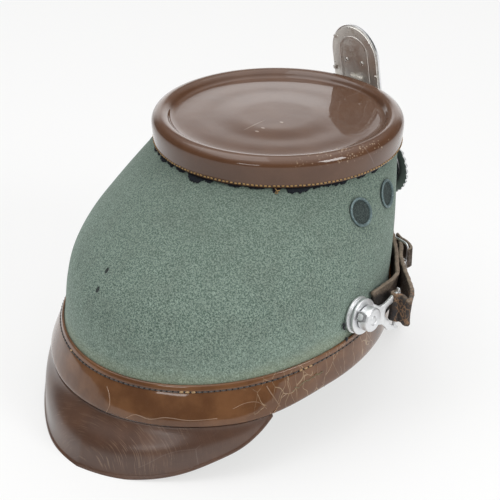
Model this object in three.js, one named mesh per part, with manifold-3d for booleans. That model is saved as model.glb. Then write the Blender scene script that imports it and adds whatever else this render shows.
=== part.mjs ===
// A shako hat with a felt body, a patent leather crown, two peaks and a chin strap.
// Millimetres, +Z up, the front of the hat looks along -Y and the wearer's right is -X.
// The hat is worked out about the centre of its crown, then set down on its two peaks.
import * as THREE from 'three';
import { mergeVertices } from 'three/addons/utils/BufferGeometryUtils.js';
import Module from 'manifold-3d';

const wasm = await Module();
wasm.setup();

// Fits
const clearance = 0.3;

// Crown
const crown_radius = 71;
const crown_roll = 5.5;
const crown_side = 11;
const crown_taper = 0.9;
const crown_ease = 0.3;
const crown_leather = 2;
const groove_width = 5;
const groove_level = 1.4;
const mesa_radius = 33;
const mesa_level = 3.8;
const mesa_slope = 8;

// Felt body
const felt_wall = 3;
const collar_height = 9;
const body_height = 88.7;
const base_half_length = 98.8;
const base_half_width = 86.5;
const base_setback = 43.3;
const base_tilt = 4.8;

// Head band
const band_height = 21;
const band_leather = 2;
const band_rear_flare = 6;
const band_side_flare = -1.5;
const band_flare_start = 45;
const band_flare_end = 80;

// Peaks
const peak_leather = 2.2;
const peak_arch = 2.5;
const peak_trim = 0.5;
const rear_peak_reach = 16.8;
const rear_peak_drop = 28.6;
const rear_peak_angle = 57.5;
const front_peak_reach = 30;
const front_peak_drop = 44.6;
const front_peak_angle = 50;

// Vents
const vent_hole = 14.6;
const vent_flange = 17.6;
const vent_lip = 0.9;
const vent_gauze = 0.8;
const vent_barrel = 0.7;
const vent_edge = 0.4;
const vent_seat = 0.15;
const vent_level = 0.21;
const vent_angle = 85.5;
const vent_spread = 19.5;

// Side posts
const post_level = 0.84;
const post_angle = 91;
const post_seat = 0.5;
const post_edge = 0.6;
const post_base = 22.5;
const post_base_depth = 3;
const post_neck = 8;
const post_cap = 15;
const post_cap_depth = 6;
const lug_ring = 21;
const lug_metal = 2;
const lug_ahead = 25;
const lug_bend = 22;
const lug_spread = 24;
const lug_bar = 3;
const lug_hang = 13;

// Chin strap
const strap_width = 16;
const strap_leather = 2;
const buckle_width = 22;
const buckle_length = 13;
const buckle_metal = 1.6;
const buckle_rail = 2.2;
const buckle_angle = 136;
const buckle_level = 0.925;
const buckle_out = 10.6;
const buckle_kick = 15;

// Front plate and cockade
const plate_width = 108;
const plate_height = 52;
const plate_metal = 1.4;
const plate_loops = 20;
const plate_loop_depth = 0.06;
const plate_backing = 1.8;
const plate_backing_share = 0.86;
const plate_level = 0.4;
const plate_flatness = 0.5;
const cockade_width = 32;
const cockade_height = 62;
const cockade_lean = 12;
const cockade_rise = 36;
const cockade_metal = 1.2;
const cockade_dome = 3;
const cockade_standoff = 4;
const prong_width = 9;
const prong_length = 38;
const rivet_radius = 1.4;
const rivet_rise = 0.9;
const rivet_spacing = 11;

// How finely round forms are divided
const around = 56;
const small_around = 16;
const fold_steps = 16;
const post_around = 20;
const peak_steps = 4;
const peak_columns = 24;
const long_strap_steps = 60;
const short_strap_steps = 32;

const radians = THREE.MathUtils.degToRad;
const mix = THREE.MathUtils.lerp;

// The felt wall below the crown, from its collar to the head band. The drop is a share of the
// height between them, and rear and front are shares of how far the wall has moved there.
const body_rows = [
  { drop: 0, rear: 0, front: 0 },
  { drop: 0.07, rear: 0.125, front: 0.07 },
  { drop: 0.15, rear: 0.27, front: 0.15 },
  { drop: 0.3, rear: 0.525, front: 0.3 },
  { drop: 0.45, rear: 0.755, front: 0.45 },
  { drop: 0.6, rear: 0.9, front: 0.6 },
  { drop: 0.75, rear: 0.96, front: 0.75 },
  { drop: 0.9, rear: 0.985, front: 0.9 },
  { drop: 1, rear: 1, front: 1 },
];

// How a peak's free edge runs from its middle, turn 0, to its corner, turn 1. Out and down
// are shares of the peak's reach and of its drop.
const rear_peak_rows = [
  { turn: 0, out: 1, down: 1 },
  { turn: 0.2, out: 0.84, down: 1 },
  { turn: 0.4, out: 0.57, down: 0.94 },
  { turn: 0.55, out: 0.39, down: 0.83 },
  { turn: 0.7, out: 0.24, down: 0.64 },
  { turn: 0.85, out: 0.17, down: 0.43 },
  { turn: 1, out: 0.03, down: 0.04 },
];
const front_peak_rows = [
  { turn: 0, out: 1, down: 1 },
  { turn: 0.3, out: 0.93, down: 1 },
  { turn: 0.5, out: 0.76, down: 0.92 },
  { turn: 0.7, out: 0.4, down: 0.62 },
  { turn: 0.85, out: 0.16, down: 0.32 },
  { turn: 1, out: 0.02, down: 0.04 },
];

// The strap from the left lug round the front to the right buckle, and on as a tail that
// ends behind the right lug. The angle is counted from the rear, positive on the wearer's
// left, level is the drop on the wall and out the distance from it.
const long_strap_rows = [
  { angle: 112, level: 0.98, out: 14 },
  { angle: 120, level: 0.98, out: 13.5 },
  { angle: 132, level: 0.95, out: 9 },
  { angle: 146, level: 0.93, out: 6 },
  { angle: 180, level: 0.94, out: 5.5 },
  { angle: 205, level: 0.93, out: 5 },
  { angle: 219, level: 0.92, out: 3.3 },
  { angle: 230, level: 0.93, out: 4 },
  { angle: 240, level: 0.96, out: 4.6 },
  { angle: 248, level: 0.95, out: 3.2 },
  { angle: 256, level: 0.93, out: 2.2 },
];
// The short strap from the right lug's bar to the buckle.
const short_strap_rows = [
  { angle: 247, level: 0.98, out: 14.5 },
  { angle: 241, level: 0.99, out: 15 },
  { angle: 235, level: 0.97, out: 12.4 },
  { angle: 229, level: 0.94, out: 9.3 },
  { angle: 221, level: 0.92, out: 6.4 },
];

function lookup(rows, key, column, value) {
  if (value <= rows[0][key]) return rows[0][column];
  for (let i = 1; i < rows.length; i += 1) {
    if (value <= rows[i][key]) {
      const share = (value - rows[i - 1][key]) / (rows[i][key] - rows[i - 1][key]);
      return mix(rows[i - 1][column], rows[i][column], share);
    }
  }
  return rows[rows.length - 1][column];
}

// Solids

function signedVolume(geometry) {
  const p = geometry.attributes.position;
  const index = geometry.index;
  const a = new THREE.Vector3();
  const b = new THREE.Vector3();
  const c = new THREE.Vector3();
  let volume = 0;
  for (let i = 0; i < index.count; i += 3) {
    a.fromBufferAttribute(p, index.getX(i));
    b.fromBufferAttribute(p, index.getX(i + 1));
    c.fromBufferAttribute(p, index.getX(i + 2));
    volume += a.dot(b.cross(c)) / 6;
  }
  return volume;
}

function facingOut(geometry) {
  if (signedVolume(geometry) < 0) {
    const order = geometry.index.array;
    for (let i = 0; i < order.length; i += 3) {
      const kept = order[i];
      order[i] = order[i + 1];
      order[i + 1] = kept;
    }
  }
  geometry.computeVertexNormals();
  return geometry;
}

function merged(geometry) {
  const copy = geometry.clone();
  copy.deleteAttribute('normal');
  copy.deleteAttribute('uv');
  return facingOut(mergeVertices(copy, 1e-4));
}

// A sheet with a thickness. Outer and inner give a point for a row share and a column share,
// and a closed sheet runs all the way round.
function slab(outer, inner, rows, columns, closed) {
  const positions = [];
  const index = [];
  const width = closed ? columns : columns + 1;
  for (const side of [outer, inner]) {
    for (let i = 0; i <= rows; i += 1) {
      for (let j = 0; j < width; j += 1) positions.push(...side(i / rows, j / columns).toArray());
    }
  }
  const at = (side, i, j) => (side * (rows + 1) + i) * width + (closed ? j % columns : j);
  const quad = (a, b, c, d) => index.push(a, b, c, a, c, d);
  for (let j = 0; j < columns; j += 1) {
    for (let i = 0; i < rows; i += 1) {
      quad(at(0, i, j), at(0, i, j + 1), at(0, i + 1, j + 1), at(0, i + 1, j));
      quad(at(1, i, j), at(1, i + 1, j), at(1, i + 1, j + 1), at(1, i, j + 1));
    }
    quad(at(0, 0, j), at(1, 0, j), at(1, 0, j + 1), at(0, 0, j + 1));
    quad(at(0, rows, j), at(0, rows, j + 1), at(1, rows, j + 1), at(1, rows, j));
  }
  if (!closed) {
    for (let i = 0; i < rows; i += 1) {
      quad(at(0, i, 0), at(0, i + 1, 0), at(1, i + 1, 0), at(1, i, 0));
      quad(at(0, i, columns), at(1, i, columns), at(1, i + 1, columns), at(0, i + 1, columns));
    }
  }
  const geometry = new THREE.BufferGeometry();
  geometry.setAttribute('position', new THREE.Float32BufferAttribute(positions, 3));
  geometry.setIndex(index);
  return facingOut(geometry);
}

function toManifold(geometry) {
  const closed = merged(geometry);
  const vertProperties = new Float32Array(closed.attributes.position.array);
  const triVerts = new Uint32Array(closed.index.array);
  return new wasm.Manifold(new wasm.Mesh({ numProp: 3, vertProperties, triVerts }));
}

function fromManifold(solid) {
  const result = solid.getMesh();
  const geometry = new THREE.BufferGeometry();
  geometry.setAttribute('position', new THREE.Float32BufferAttribute(result.vertProperties, 3));
  geometry.setIndex(Array.from(result.triVerts));
  geometry.computeVertexNormals();
  return geometry;
}

// A round piece turned about +Z from a profile of [radius, height] points on both ends of
// the axis, or from a closed profile when its last point repeats the first.
function turned(profile, segments) {
  const points = profile.map(([r, z]) => new THREE.Vector2(r, z));
  const geometry = new THREE.LatheGeometry(points, segments);
  geometry.rotateX(Math.PI / 2);
  return merged(geometry);
}

function puck(radius, low, high, segments) {
  return turned([[0, low], [radius, low], [radius, high], [0, high]], segments);
}

// The felt wall
const collar_radius = crown_radius - crown_taper - crown_leather - clearance;
const body_top = -crown_side - clearance;
const wall_drop = body_height + body_top;
const base_rear = base_setback + base_half_length;
const base_front = base_setback - base_half_length;
const band_share = 1 + band_height / wall_drop;

function bodyLevel(share) {
  const grown = lookup(body_rows, 'drop', 'rear', share);
  const moved = lookup(body_rows, 'drop', 'front', share);
  const rear = mix(collar_radius, base_rear, grown);
  const front = mix(-collar_radius, base_front, moved);
  return {
    centre: (rear + front) / 2,
    half_length: (rear - front) / 2,
    half_width: mix(collar_radius, base_half_width, grown),
    level: body_top - share * wall_drop,
    slope: -Math.tan(radians(base_tilt)) * Math.min(share, 1),
  };
}

// Behind the head band the wall spreads at the rear and draws in at the sides.
function flare(angle) {
  const from_rear = Math.abs(THREE.MathUtils.euclideanModulo(angle + 180, 360) - 180);
  const away = THREE.MathUtils.smoothstep(from_rear, band_flare_start, band_flare_end);
  return mix(band_rear_flare, band_side_flare, away);
}

// A point of the wall. Share 0 is at the crown's edge, 1 at the top of the head band and
// more behind it; the angle runs from the rear, 180 at the front and -90 at the wearer's
// right, and out is a distance outwards from the wall.
function bodyPoint(share, angle, out = 0) {
  const { centre, half_length, half_width, level, slope } = bodyLevel(share);
  const turn = radians(angle);
  const x = half_width * Math.sin(turn);
  const y = half_length * Math.cos(turn);
  const normal = new THREE.Vector2(x / half_width ** 2, y / half_length ** 2).normalize();
  const spread = (Math.max(share - 1, 0) / (band_share - 1)) * flare(angle) + out;
  return new THREE.Vector3(
    x + normal.x * spread,
    centre + y + normal.y * spread,
    level + y * slope,
  );
}

function bodyNormal(share, angle) {
  const step = 0.01;
  const low = Math.max(share - step, 0);
  const along = bodyPoint(share, angle + 1).sub(bodyPoint(share, angle - 1));
  const down = bodyPoint(share + step, angle).sub(bodyPoint(low, angle));
  return along.cross(down).normalize();
}

// The frame of a piece that is made about +Z and set on the wall, its +X towards the front.
function wallFrame(share, angle, out, swing = 0, kick = 0) {
  const outward = bodyNormal(share, angle);
  const ahead = bodyPoint(share, angle + Math.sign(angle)).sub(bodyPoint(share, angle));
  ahead.addScaledVector(outward, -ahead.dot(outward)).normalize();
  const upward = new THREE.Vector3().crossVectors(outward, ahead);
  if (upward.z < 0) upward.negate();
  const place = bodyPoint(share, angle).addScaledVector(outward, out);
  const matrix = new THREE.Matrix4().setPosition(place);
  matrix.multiply(new THREE.Matrix4().makeBasis(ahead, upward, outward));
  matrix.multiply(new THREE.Matrix4().makeRotationZ(-radians(swing)));
  return matrix.multiply(new THREE.Matrix4().makeRotationY(radians(kick)));
}

function onWall(geometry, share, angle, out, swing, kick) {
  return merged(geometry.clone().applyMatrix4(wallFrame(share, angle, out, swing, kick)));
}

const vents = [];
for (const side of [-1, 1]) {
  for (const row of [0, 1]) {
    const name = `${side < 0 ? 'right' : 'left'}_${row + 1}`;
    vents.push({ name, angle: side * (vent_angle + row * vent_spread) });
  }
}

function feltBody() {
  const shares = [...body_rows.map((row) => row.drop), band_share];
  const rows = shares.length;
  const place = (i, j, inset) => {
    const angle = j * 360;
    const turn = radians(angle);
    const row = Math.round(i * rows);
    const radius = collar_radius - inset;
    const level = row === 0 ? body_top + collar_height : body_top;
    if (row < 2) return new THREE.Vector3(radius * Math.sin(turn), radius * Math.cos(turn), level);
    const share = shares[row - 1];
    return bodyPoint(share, angle).addScaledVector(bodyNormal(share, angle), -inset);
  };
  let solid = toManifold(slab((i, j) => place(i, j, 0), (i, j) => place(i, j, felt_wall), rows, around, true));
  const reach = 3 * felt_wall;
  const drill = puck(vent_hole / 2 + clearance, -reach, reach, small_around);
  for (const vent of vents) {
    solid = solid.subtract(toManifold(onWall(drill, vent_level, vent.angle, 0)));
  }
  return fromManifold(solid);
}

// The crown is a cap with a rolled rim, a sunken groove and a low raised middle.
function crown() {
  const roll_centre = crown_radius - crown_roll;
  const profile = [[0, mesa_level], [mesa_radius - mesa_slope / 2, mesa_level - crown_ease]];
  profile.push([mesa_radius, (mesa_level + groove_level) / 2 + crown_ease]);
  profile.push([mesa_radius + mesa_slope / 2, groove_level + 1.5 * crown_ease]);
  profile.push([roll_centre - crown_roll - groove_width, groove_level + 0.6 * crown_ease]);
  profile.push([roll_centre - crown_roll - groove_width / 5, groove_level]);
  for (const degrees of [145, 115, 85, 55, 28, 0]) {
    const turn = radians(degrees);
    profile.push([roll_centre + crown_roll * Math.cos(turn), crown_roll * Math.sin(turn)]);
  }
  const edge = crown_radius - crown_taper;
  profile.push([edge, -crown_side], [edge - crown_leather, -crown_side]);
  profile.push([edge - crown_leather, groove_level - crown_leather - clearance]);
  profile.push([0, groove_level - crown_leather - clearance]);
  return turned(profile, around);
}

function headBand() {
  const place = (i, j, out) => bodyPoint(mix(1, band_share, i), j * 360, clearance + out);
  return slab((i, j) => place(i, j, band_leather), (i, j) => place(i, j, 0), 1, around, true);
}

// A peak hangs from the lower edge of the band and spreads outwards to its free edge.
function peak({ middle, angle, reach, drop, rows }) {
  const start = band_share + clearance / wall_drop;
  const outward = (a) => {
    const away = bodyPoint(start, a, 1).sub(bodyPoint(start, a));
    return away.setZ(0).normalize();
  };
  const outside = (i, j) => {
    const turn = Math.abs(2 * j - 1);
    const a = middle + (2 * j - 1) * angle;
    const out = lookup(rows, 'turn', 'out', turn) * reach;
    const down = lookup(rows, 'turn', 'down', turn) * drop;
    const point = bodyPoint(start, a, clearance + band_leather);
    const arch = Math.sin(Math.PI * i) * peak_arch * (1 - turn ** 4);
    point.addScaledVector(outward(a), out * i + arch * (down / drop));
    point.z += -down * i + (arch * out) / reach / 2;
    return point;
  };
  const step = 0.02;
  const inside = (i, j) => {
    const low = Math.max(j - step, 0);
    const high = Math.min(j + step, 1);
    const inner = Math.max(i - step, 0);
    const outer = Math.min(i + step, 1);
    const along = outside(i, high).sub(outside(i, low));
    const down = outside(outer, j).sub(outside(inner, j));
    const normal = down.cross(along).normalize();
    const a = middle + (2 * j - 1) * angle;
    if (normal.dot(outward(a)) < 0) normal.negate();
    if (i === 0) normal.setZ(0).normalize();
    return outside(i, j).addScaledVector(normal, -peak_leather);
  };
  const sheet = slab(outside, inside, peak_steps, peak_columns, false);
  const floor_size = 4 * base_half_length;
  const floor_slab = new THREE.BoxGeometry(floor_size, floor_size, floor_size);
  floor_slab.translate(0, 0, rest_level - floor_size / 2);
  return fromManifold(toManifold(sheet).subtract(toManifold(floor_slab)));
}

// The hat stands on the trimmed lower edge of both peaks.
const rest_level = bodyPoint(band_share, 0).z - rear_peak_drop + peak_trim;

// Vents and posts are made about +Z and set on the wall.
function ventRing() {
  const inner = vent_hole / 2 - vent_barrel;
  const barrel = vent_hole / 2;
  const flange = vent_flange / 2;
  return turned([
    [inner, -felt_wall / 2], [barrel, -felt_wall / 2], [barrel, clearance], [flange, clearance],
    [flange - vent_edge, clearance + vent_lip], [inner, clearance + vent_lip], [inner, -felt_wall / 2],
  ], small_around);
}

function ventGauze() {
  return puck(vent_hole / 2 - vent_barrel - clearance / 2, -felt_wall / 4, -felt_wall / 4 + vent_gauze, small_around);
}

const base_low = post_seat;
const base_high = base_low + post_base_depth;
const lug_low = base_high + clearance;
const lug_high = lug_low + lug_metal;
const cap_low = lug_high + clearance;
const cap_high = cap_low + post_cap_depth;

function postBase() {
  const r = post_base / 2;
  return turned([
    [0, base_low], [r - post_edge, base_low], [r, base_low + post_edge], [r, base_high - 2 * post_edge],
    [r - 2 * post_edge, base_high - post_edge], [r - 3 * post_edge, base_high], [0, base_high],
  ], post_around);
}

function postCap() {
  const r = post_cap / 2;
  const neck = post_neck / 2;
  return turned([
    [0, base_high + clearance], [neck, base_high + clearance], [neck, cap_low], [r, cap_low],
    [r, cap_high - post_edge], [r - post_edge, cap_high], [r / 2, cap_high],
    [r / 2 - post_edge, cap_high - post_edge], [0, cap_high - post_edge],
  ], post_around);
}

// The lug is a flat ring and two arms that bend away from the hat and hold a bar.
const lug_fold = lug_ring / 2 - lug_metal;

function lugBend() {
  const matrix = new THREE.Matrix4().makeTranslation(lug_fold, 0, lug_low);
  matrix.multiply(new THREE.Matrix4().makeRotationY(-radians(lug_bend)));
  return matrix.multiply(new THREE.Matrix4().makeTranslation(-lug_fold, 0, 0));
}

function lug() {
  const radius = lug_ring / 2;
  const ring_shape = new THREE.Shape();
  ring_shape.absarc(0, 0, radius, 0, 2 * Math.PI, false);
  const hole = new THREE.Path();
  hole.absarc(0, 0, post_neck / 2 + clearance, 0, 2 * Math.PI, true);
  ring_shape.holes.push(hole);
  const flat = { depth: lug_metal, bevelEnabled: false, curveSegments: 10 };
  const ring = new THREE.ExtrudeGeometry(ring_shape, flat);
  ring.translate(0, 0, lug_low);

  const half = lug_spread / 2;
  const root = radius * 0.55;
  const tip = lug_ahead + lug_bar / 2;
  const tip_width = lug_bar * 0.6;
  const crotch = mix(lug_fold, lug_ahead, 0.5);
  const arms_shape = new THREE.Shape();
  arms_shape.moveTo(lug_fold, root);
  arms_shape.lineTo(lug_fold, -root);
  arms_shape.quadraticCurveTo(lug_ahead * 0.58, -half * 0.54, lug_ahead - lug_bar, -half);
  arms_shape.lineTo(tip, -half);
  arms_shape.lineTo(tip, -half + tip_width);
  arms_shape.quadraticCurveTo(crotch, -half * 0.85, crotch, 0);
  arms_shape.quadraticCurveTo(crotch, half * 0.85, tip, half - tip_width);
  arms_shape.lineTo(tip, half);
  arms_shape.lineTo(lug_ahead - lug_bar, half);
  arms_shape.quadraticCurveTo(lug_ahead * 0.58, half * 0.54, lug_fold, root);
  const arms = new THREE.ExtrudeGeometry(arms_shape, { ...flat, curveSegments: 5 });
  const bar = new THREE.CylinderGeometry(lug_bar / 2, lug_bar / 2, lug_spread - 1, 8);
  bar.translate(lug_ahead, 0, lug_metal / 2);
  const bent = toManifold(arms.applyMatrix4(lugBend())).add(toManifold(bar.applyMatrix4(lugBend())));
  return fromManifold(toManifold(ring).add(bent));
}

function lugFrame(side) {
  return wallFrame(post_level, side * post_angle, 0, lug_hang).multiply(lugBend());
}

// A strap is a flat ribbon along a smooth path. Its width lies along the lug's bar where it
// is folded round it, and turns upright on its way along the hat.
function ribbon(path, steps, bar_axis) {
  const curve = new THREE.CatmullRomCurve3(path, false, 'centripetal');
  const length = curve.getLength();
  const fold_length = 1.5 * strap_width;
  const place = (i, j, side) => {
    const past = j * steps - fold_steps;
    const folded = (fold_length * Math.min(j * steps, fold_steps)) / fold_steps;
    const travel = folded + ((length - fold_length) * Math.max(past, 0)) / (steps - fold_steps);
    const point = curve.getPointAt(Math.min(travel / length, 1));
    const tangent = curve.getTangentAt(Math.min(travel / length, 1));
    const along = THREE.MathUtils.smoothstep(travel, strap_width, 2.5 * strap_width);
    const wide = bar_axis.clone().lerp(new THREE.Vector3(0, 0, 1), along);
    wide.addScaledVector(tangent, -wide.dot(tangent)).normalize();
    const thick = new THREE.Vector3().crossVectors(wide, tangent);
    point.addScaledVector(wide, (0.5 - i) * strap_width);
    return point.addScaledVector(thick, (side * strap_leather) / 2);
  };
  return slab((i, j) => place(i, j, 1), (i, j) => place(i, j, -1), 1, steps, false);
}

// The end of a strap folds round the bar of its lug: in along the wall, round, and out.
const fold_points = [
  { ahead: 2.4, out: -1.05 },
  { ahead: 1.2, out: -1.05 },
  { ahead: 0, out: -1 },
  { ahead: -0.75, out: -0.7 },
  { ahead: -1, out: 0 },
  { ahead: -0.75, out: 0.7 },
  { ahead: 0.1, out: 1.05 },
];

function strap(side, rows, steps) {
  const turn = lug_bar / 2 + clearance + strap_leather / 2;
  const frame = lugFrame(side);
  const fold = fold_points.map(({ ahead, out }) => {
    const point = new THREE.Vector3(lug_ahead + ahead * turn, 0, lug_metal / 2 + out * turn);
    return point.applyMatrix4(frame);
  });
  const route = rows.map((row) => bodyPoint(row.level, row.angle, row.out + strap_leather / 2));
  const bar_axis = new THREE.Vector3().setFromMatrixColumn(frame, 1);
  return ribbon([...fold, ...route], steps, bar_axis);
}

// The buckle is a flat frame with a middle bar, on the outside of both straps.
function buckle() {
  const outside = new THREE.BoxGeometry(buckle_length, buckle_width, buckle_metal);
  let solid = toManifold(outside);
  const window_length = (buckle_length - 3 * buckle_rail) / 2;
  for (const side of [-1, 1]) {
    const window = new THREE.BoxGeometry(window_length, buckle_width - 2 * buckle_rail, 2 * buckle_metal);
    window.translate((side * (window_length + buckle_rail)) / 2, 0, 0);
    solid = solid.subtract(toManifold(window));
  }
  return onWall(fromManifold(solid), buckle_level, -buckle_angle, buckle_out + buckle_metal / 2, 0, buckle_kick);
}

// The front plate bends less than the wall behind it, so its ends stand clear.
function platePoint(across, up, out) {
  const x = (across * plate_width) / 2;
  const level = plate_level - (up * plate_height) / 2 / wall_drop;
  const angle = 180 - THREE.MathUtils.radToDeg(Math.asin(x / bodyLevel(level).half_width));
  const wall = bodyPoint(level, angle);
  const middle = bodyPoint(level, 180);
  const y = mix(wall.y, middle.y, plate_flatness);
  return new THREE.Vector3(x, y - out, wall.z);
}

// A disc on the front, with a small hole in its middle, through rings of given sizes.
function frontDisc(sizes, out, thickness) {
  const rings = sizes.length - 1;
  const place = (i, j, depth) => {
    const turn = j * 2 * Math.PI;
    const radius = sizes[Math.round(i * rings)](j);
    return platePoint(radius * Math.cos(turn), radius * Math.sin(turn), out + depth);
  };
  return slab((i, j) => place(i, j, thickness), (i, j) => place(i, j, 0), rings, 2 * plate_loops, true);
}

const backing_rings = [() => 0.06, () => plate_backing_share / 2, () => plate_backing_share];

function frontPlate() {
  const looped = (j) => 1 - plate_loop_depth * (0.5 + 0.5 * Math.cos(2 * Math.PI * plate_loops * j));
  return frontDisc([...backing_rings, looped], 2 * clearance + plate_backing, plate_metal);
}

function plateBacking() {
  return frontDisc(backing_rings, clearance, plate_backing);
}

// The cockade is a tall oval plate that leans back over the crown, with a domed front shell.
function oval(width, height, segments) {
  const shape = new THREE.Shape();
  const r = width / 2;
  const flank = height / 2 - r * 1.25;
  shape.moveTo(r, -flank);
  shape.lineTo(r, flank);
  shape.absellipse(0, flank, r, r * 1.25, 0, Math.PI, false);
  shape.lineTo(-r, -flank);
  shape.absellipse(0, -flank, r, r * 1.25, Math.PI, 2 * Math.PI, false);
  return shape.getPoints(segments);
}

function cockadePlace() {
  const lean = radians(cockade_lean);
  const place = new THREE.Matrix4().makeTranslation(0, -crown_radius - cockade_standoff, 0);
  place.multiply(new THREE.Matrix4().makeRotationX(Math.PI / 2 - lean));
  place.multiply(new THREE.Matrix4().makeTranslation(0, cockade_rise / Math.cos(lean) - cockade_height / 2, 0));
  return place;
}

function cockadeBack() {
  const shape = new THREE.Shape(oval(cockade_width, cockade_height, 6));
  const plate = new THREE.ExtrudeGeometry(shape, { depth: cockade_metal, bevelEnabled: false });
  plate.applyMatrix4(cockadePlace());
  let solid = toManifold(plate);
  const prong = new THREE.BoxGeometry(prong_width, cockade_metal, prong_length);
  prong.translate(0, -crown_radius - clearance - cockade_metal / 2, -prong_length / 2);
  const meet = (cockade_standoff - clearance) / Math.tan(radians(cockade_lean));
  prong.translate(0, 0, meet);
  solid = solid.add(toManifold(prong));
  for (const side of [-1, 1]) {
    const rivet = new THREE.SphereGeometry(rivet_radius, 10, 6);
    rivet.scale(1, 1, rivet_rise / rivet_radius);
    rivet.translate((side * rivet_spacing) / 2, 8, 0);
    rivet.applyMatrix4(cockadePlace());
    solid = solid.add(toManifold(rivet));
  }
  return fromManifold(solid);
}

function cockadeShell() {
  const edge = oval(cockade_width + 1, cockade_height + 1, 6);
  edge.pop();
  const columns = edge.length;
  const low = cockade_metal + clearance;
  const place = (i, j, top) => {
    const point = edge[Math.round(j * columns) % columns];
    const size = mix(1, 0.05, i);
    const rise = top ? cockade_metal + cockade_dome * Math.sin((i * Math.PI) / 2) : 0;
    return new THREE.Vector3(point.x * size, point.y * size, low + rise);
  };
  const geometry = slab((i, j) => place(i, j, true), (i, j) => place(i, j, false), 3, columns, true);
  return geometry.applyMatrix4(cockadePlace());
}

// Colours and finishes
const finishes = {
  patent: { color: 0x5c382b, roughness: 0.2, metalness: 0 },
  felt: { color: 0x6f8578, roughness: 0.95, metalness: 0 },
  peak: { color: 0x3f251b, roughness: 0.25, metalness: 0 },
  aluminium: { color: 0xc9cbcd, roughness: 0.35, metalness: 1 },
  gauze: { color: 0x3a3f40, roughness: 0.8, metalness: 0.3 },
  vent: { color: 0x4d6a70, roughness: 0.6, metalness: 0.4 },
  strap: { color: 0x3d2a20, roughness: 0.7, metalness: 0 },
  steel: { color: 0x85868a, roughness: 0.45, metalness: 1 },
  backing: { color: 0x141517, roughness: 0.9, metalness: 0 },
};

const hat = new THREE.Group();

function addPiece(name, finish, geometry) {
  const mesh = new THREE.Mesh(geometry, new THREE.MeshStandardMaterial(finishes[finish]));
  mesh.name = name;
  hat.add(mesh);
}

addPiece('felt_body', 'felt', feltBody());
addPiece('crown', 'patent', crown());
addPiece('head_band', 'patent', headBand());
addPiece('rear_peak', 'peak', peak({
  middle: 0, angle: rear_peak_angle, reach: rear_peak_reach, drop: rear_peak_drop, rows: rear_peak_rows,
}));
addPiece('front_peak', 'peak', peak({
  middle: 180, angle: front_peak_angle, reach: front_peak_reach, drop: front_peak_drop, rows: front_peak_rows,
}));
for (const vent of vents) {
  addPiece(`vent_ring_${vent.name}`, 'vent', onWall(ventRing(), vent_level, vent.angle, vent_seat));
  addPiece(`vent_gauze_${vent.name}`, 'gauze', onWall(ventGauze(), vent_level, vent.angle, 0));
}
for (const [name, side] of [['right', -1], ['left', 1]]) {
  addPiece(`post_base_${name}`, 'aluminium', onWall(postBase(), post_level, side * post_angle, 0));
  addPiece(`post_cap_${name}`, 'aluminium', onWall(postCap(), post_level, side * post_angle, 0));
  addPiece(`strap_lug_${name}`, 'aluminium', onWall(lug(), post_level, side * post_angle, 0, lug_hang));
}
addPiece('strap_long', 'strap', strap(1, long_strap_rows, long_strap_steps));
addPiece('strap_short', 'strap', strap(-1, short_strap_rows, short_strap_steps));
addPiece('strap_buckle', 'aluminium', buckle());
addPiece('front_plate', 'aluminium', frontPlate());
addPiece('plate_backing', 'backing', plateBacking());
addPiece('cockade_back', 'steel', cockadeBack());
addPiece('cockade_shell', 'aluminium', cockadeShell());

// The part's origin is under the middle of the hat, on the surface that it stands on.
const extent = new THREE.Box3().setFromObject(hat);
const middle = extent.getCenter(new THREE.Vector3());
hat.position.set(-middle.x, -middle.y, -extent.min.z);

const part = new THREE.Group();
part.add(hat);

export default part;
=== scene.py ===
"""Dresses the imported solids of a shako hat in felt, patent leather and metal, and lights it."""

import math
import random

import bmesh
import bpy
from mathutils import Matrix, Vector, noise


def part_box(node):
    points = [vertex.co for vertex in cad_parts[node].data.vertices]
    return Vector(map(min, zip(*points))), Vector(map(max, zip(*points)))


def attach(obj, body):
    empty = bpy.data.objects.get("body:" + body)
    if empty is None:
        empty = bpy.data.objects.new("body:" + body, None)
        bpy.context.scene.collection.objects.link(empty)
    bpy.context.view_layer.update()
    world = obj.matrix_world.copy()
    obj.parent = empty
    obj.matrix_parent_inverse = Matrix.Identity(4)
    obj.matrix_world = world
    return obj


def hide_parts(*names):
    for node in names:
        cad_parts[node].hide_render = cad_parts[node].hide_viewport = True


bl_info = {
    "name": "Shako hat dressing",
    "version": (1, 0, 0),
    "blender": (4, 5, 0),
    "location": "View3D > Sidebar > Shako",
    "description": "Felt, leather and metal pieces over the packed solids of a shako hat",
    "category": "Object",
}

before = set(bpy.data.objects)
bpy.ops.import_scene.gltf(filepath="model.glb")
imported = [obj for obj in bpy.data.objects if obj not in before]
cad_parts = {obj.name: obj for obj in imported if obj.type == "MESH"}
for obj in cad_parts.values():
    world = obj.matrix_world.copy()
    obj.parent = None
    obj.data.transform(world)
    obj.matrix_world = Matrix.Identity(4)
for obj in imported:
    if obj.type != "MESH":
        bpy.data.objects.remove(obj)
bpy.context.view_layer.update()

MM = 0.001

# The form of the hat as the solids have it: millimetres about the crown's centre, and degrees.
CROWN_RADIUS = 71.0
CROWN_ROLL = 5.5
CROWN_SIDE = 11.0
CROWN_EDGE = 70.1
COLLAR_RADIUS = 67.8
WALL_TOP = -11.3
WALL_DROP = 77.4
BASE_REAR = 142.1
BASE_FRONT = -55.5
BASE_HALF_WIDTH = 86.5
BASE_SLOPE = -math.tan(math.radians(4.8))
BAND_HEIGHT = 21.0
BAND_SHARE = 1 + BAND_HEIGHT / WALL_DROP
CLEARANCE = 0.3
PEAK_LEATHER = 2.2
# Half the height of the peaks' arch.
PEAK_ARCH = 1.25
# The peaks as (half angle in degrees, reach, drop).
REAR_PEAK = (57.5, 16.8, 28.6)
FRONT_PEAK = (50, 30, 44.6)
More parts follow.
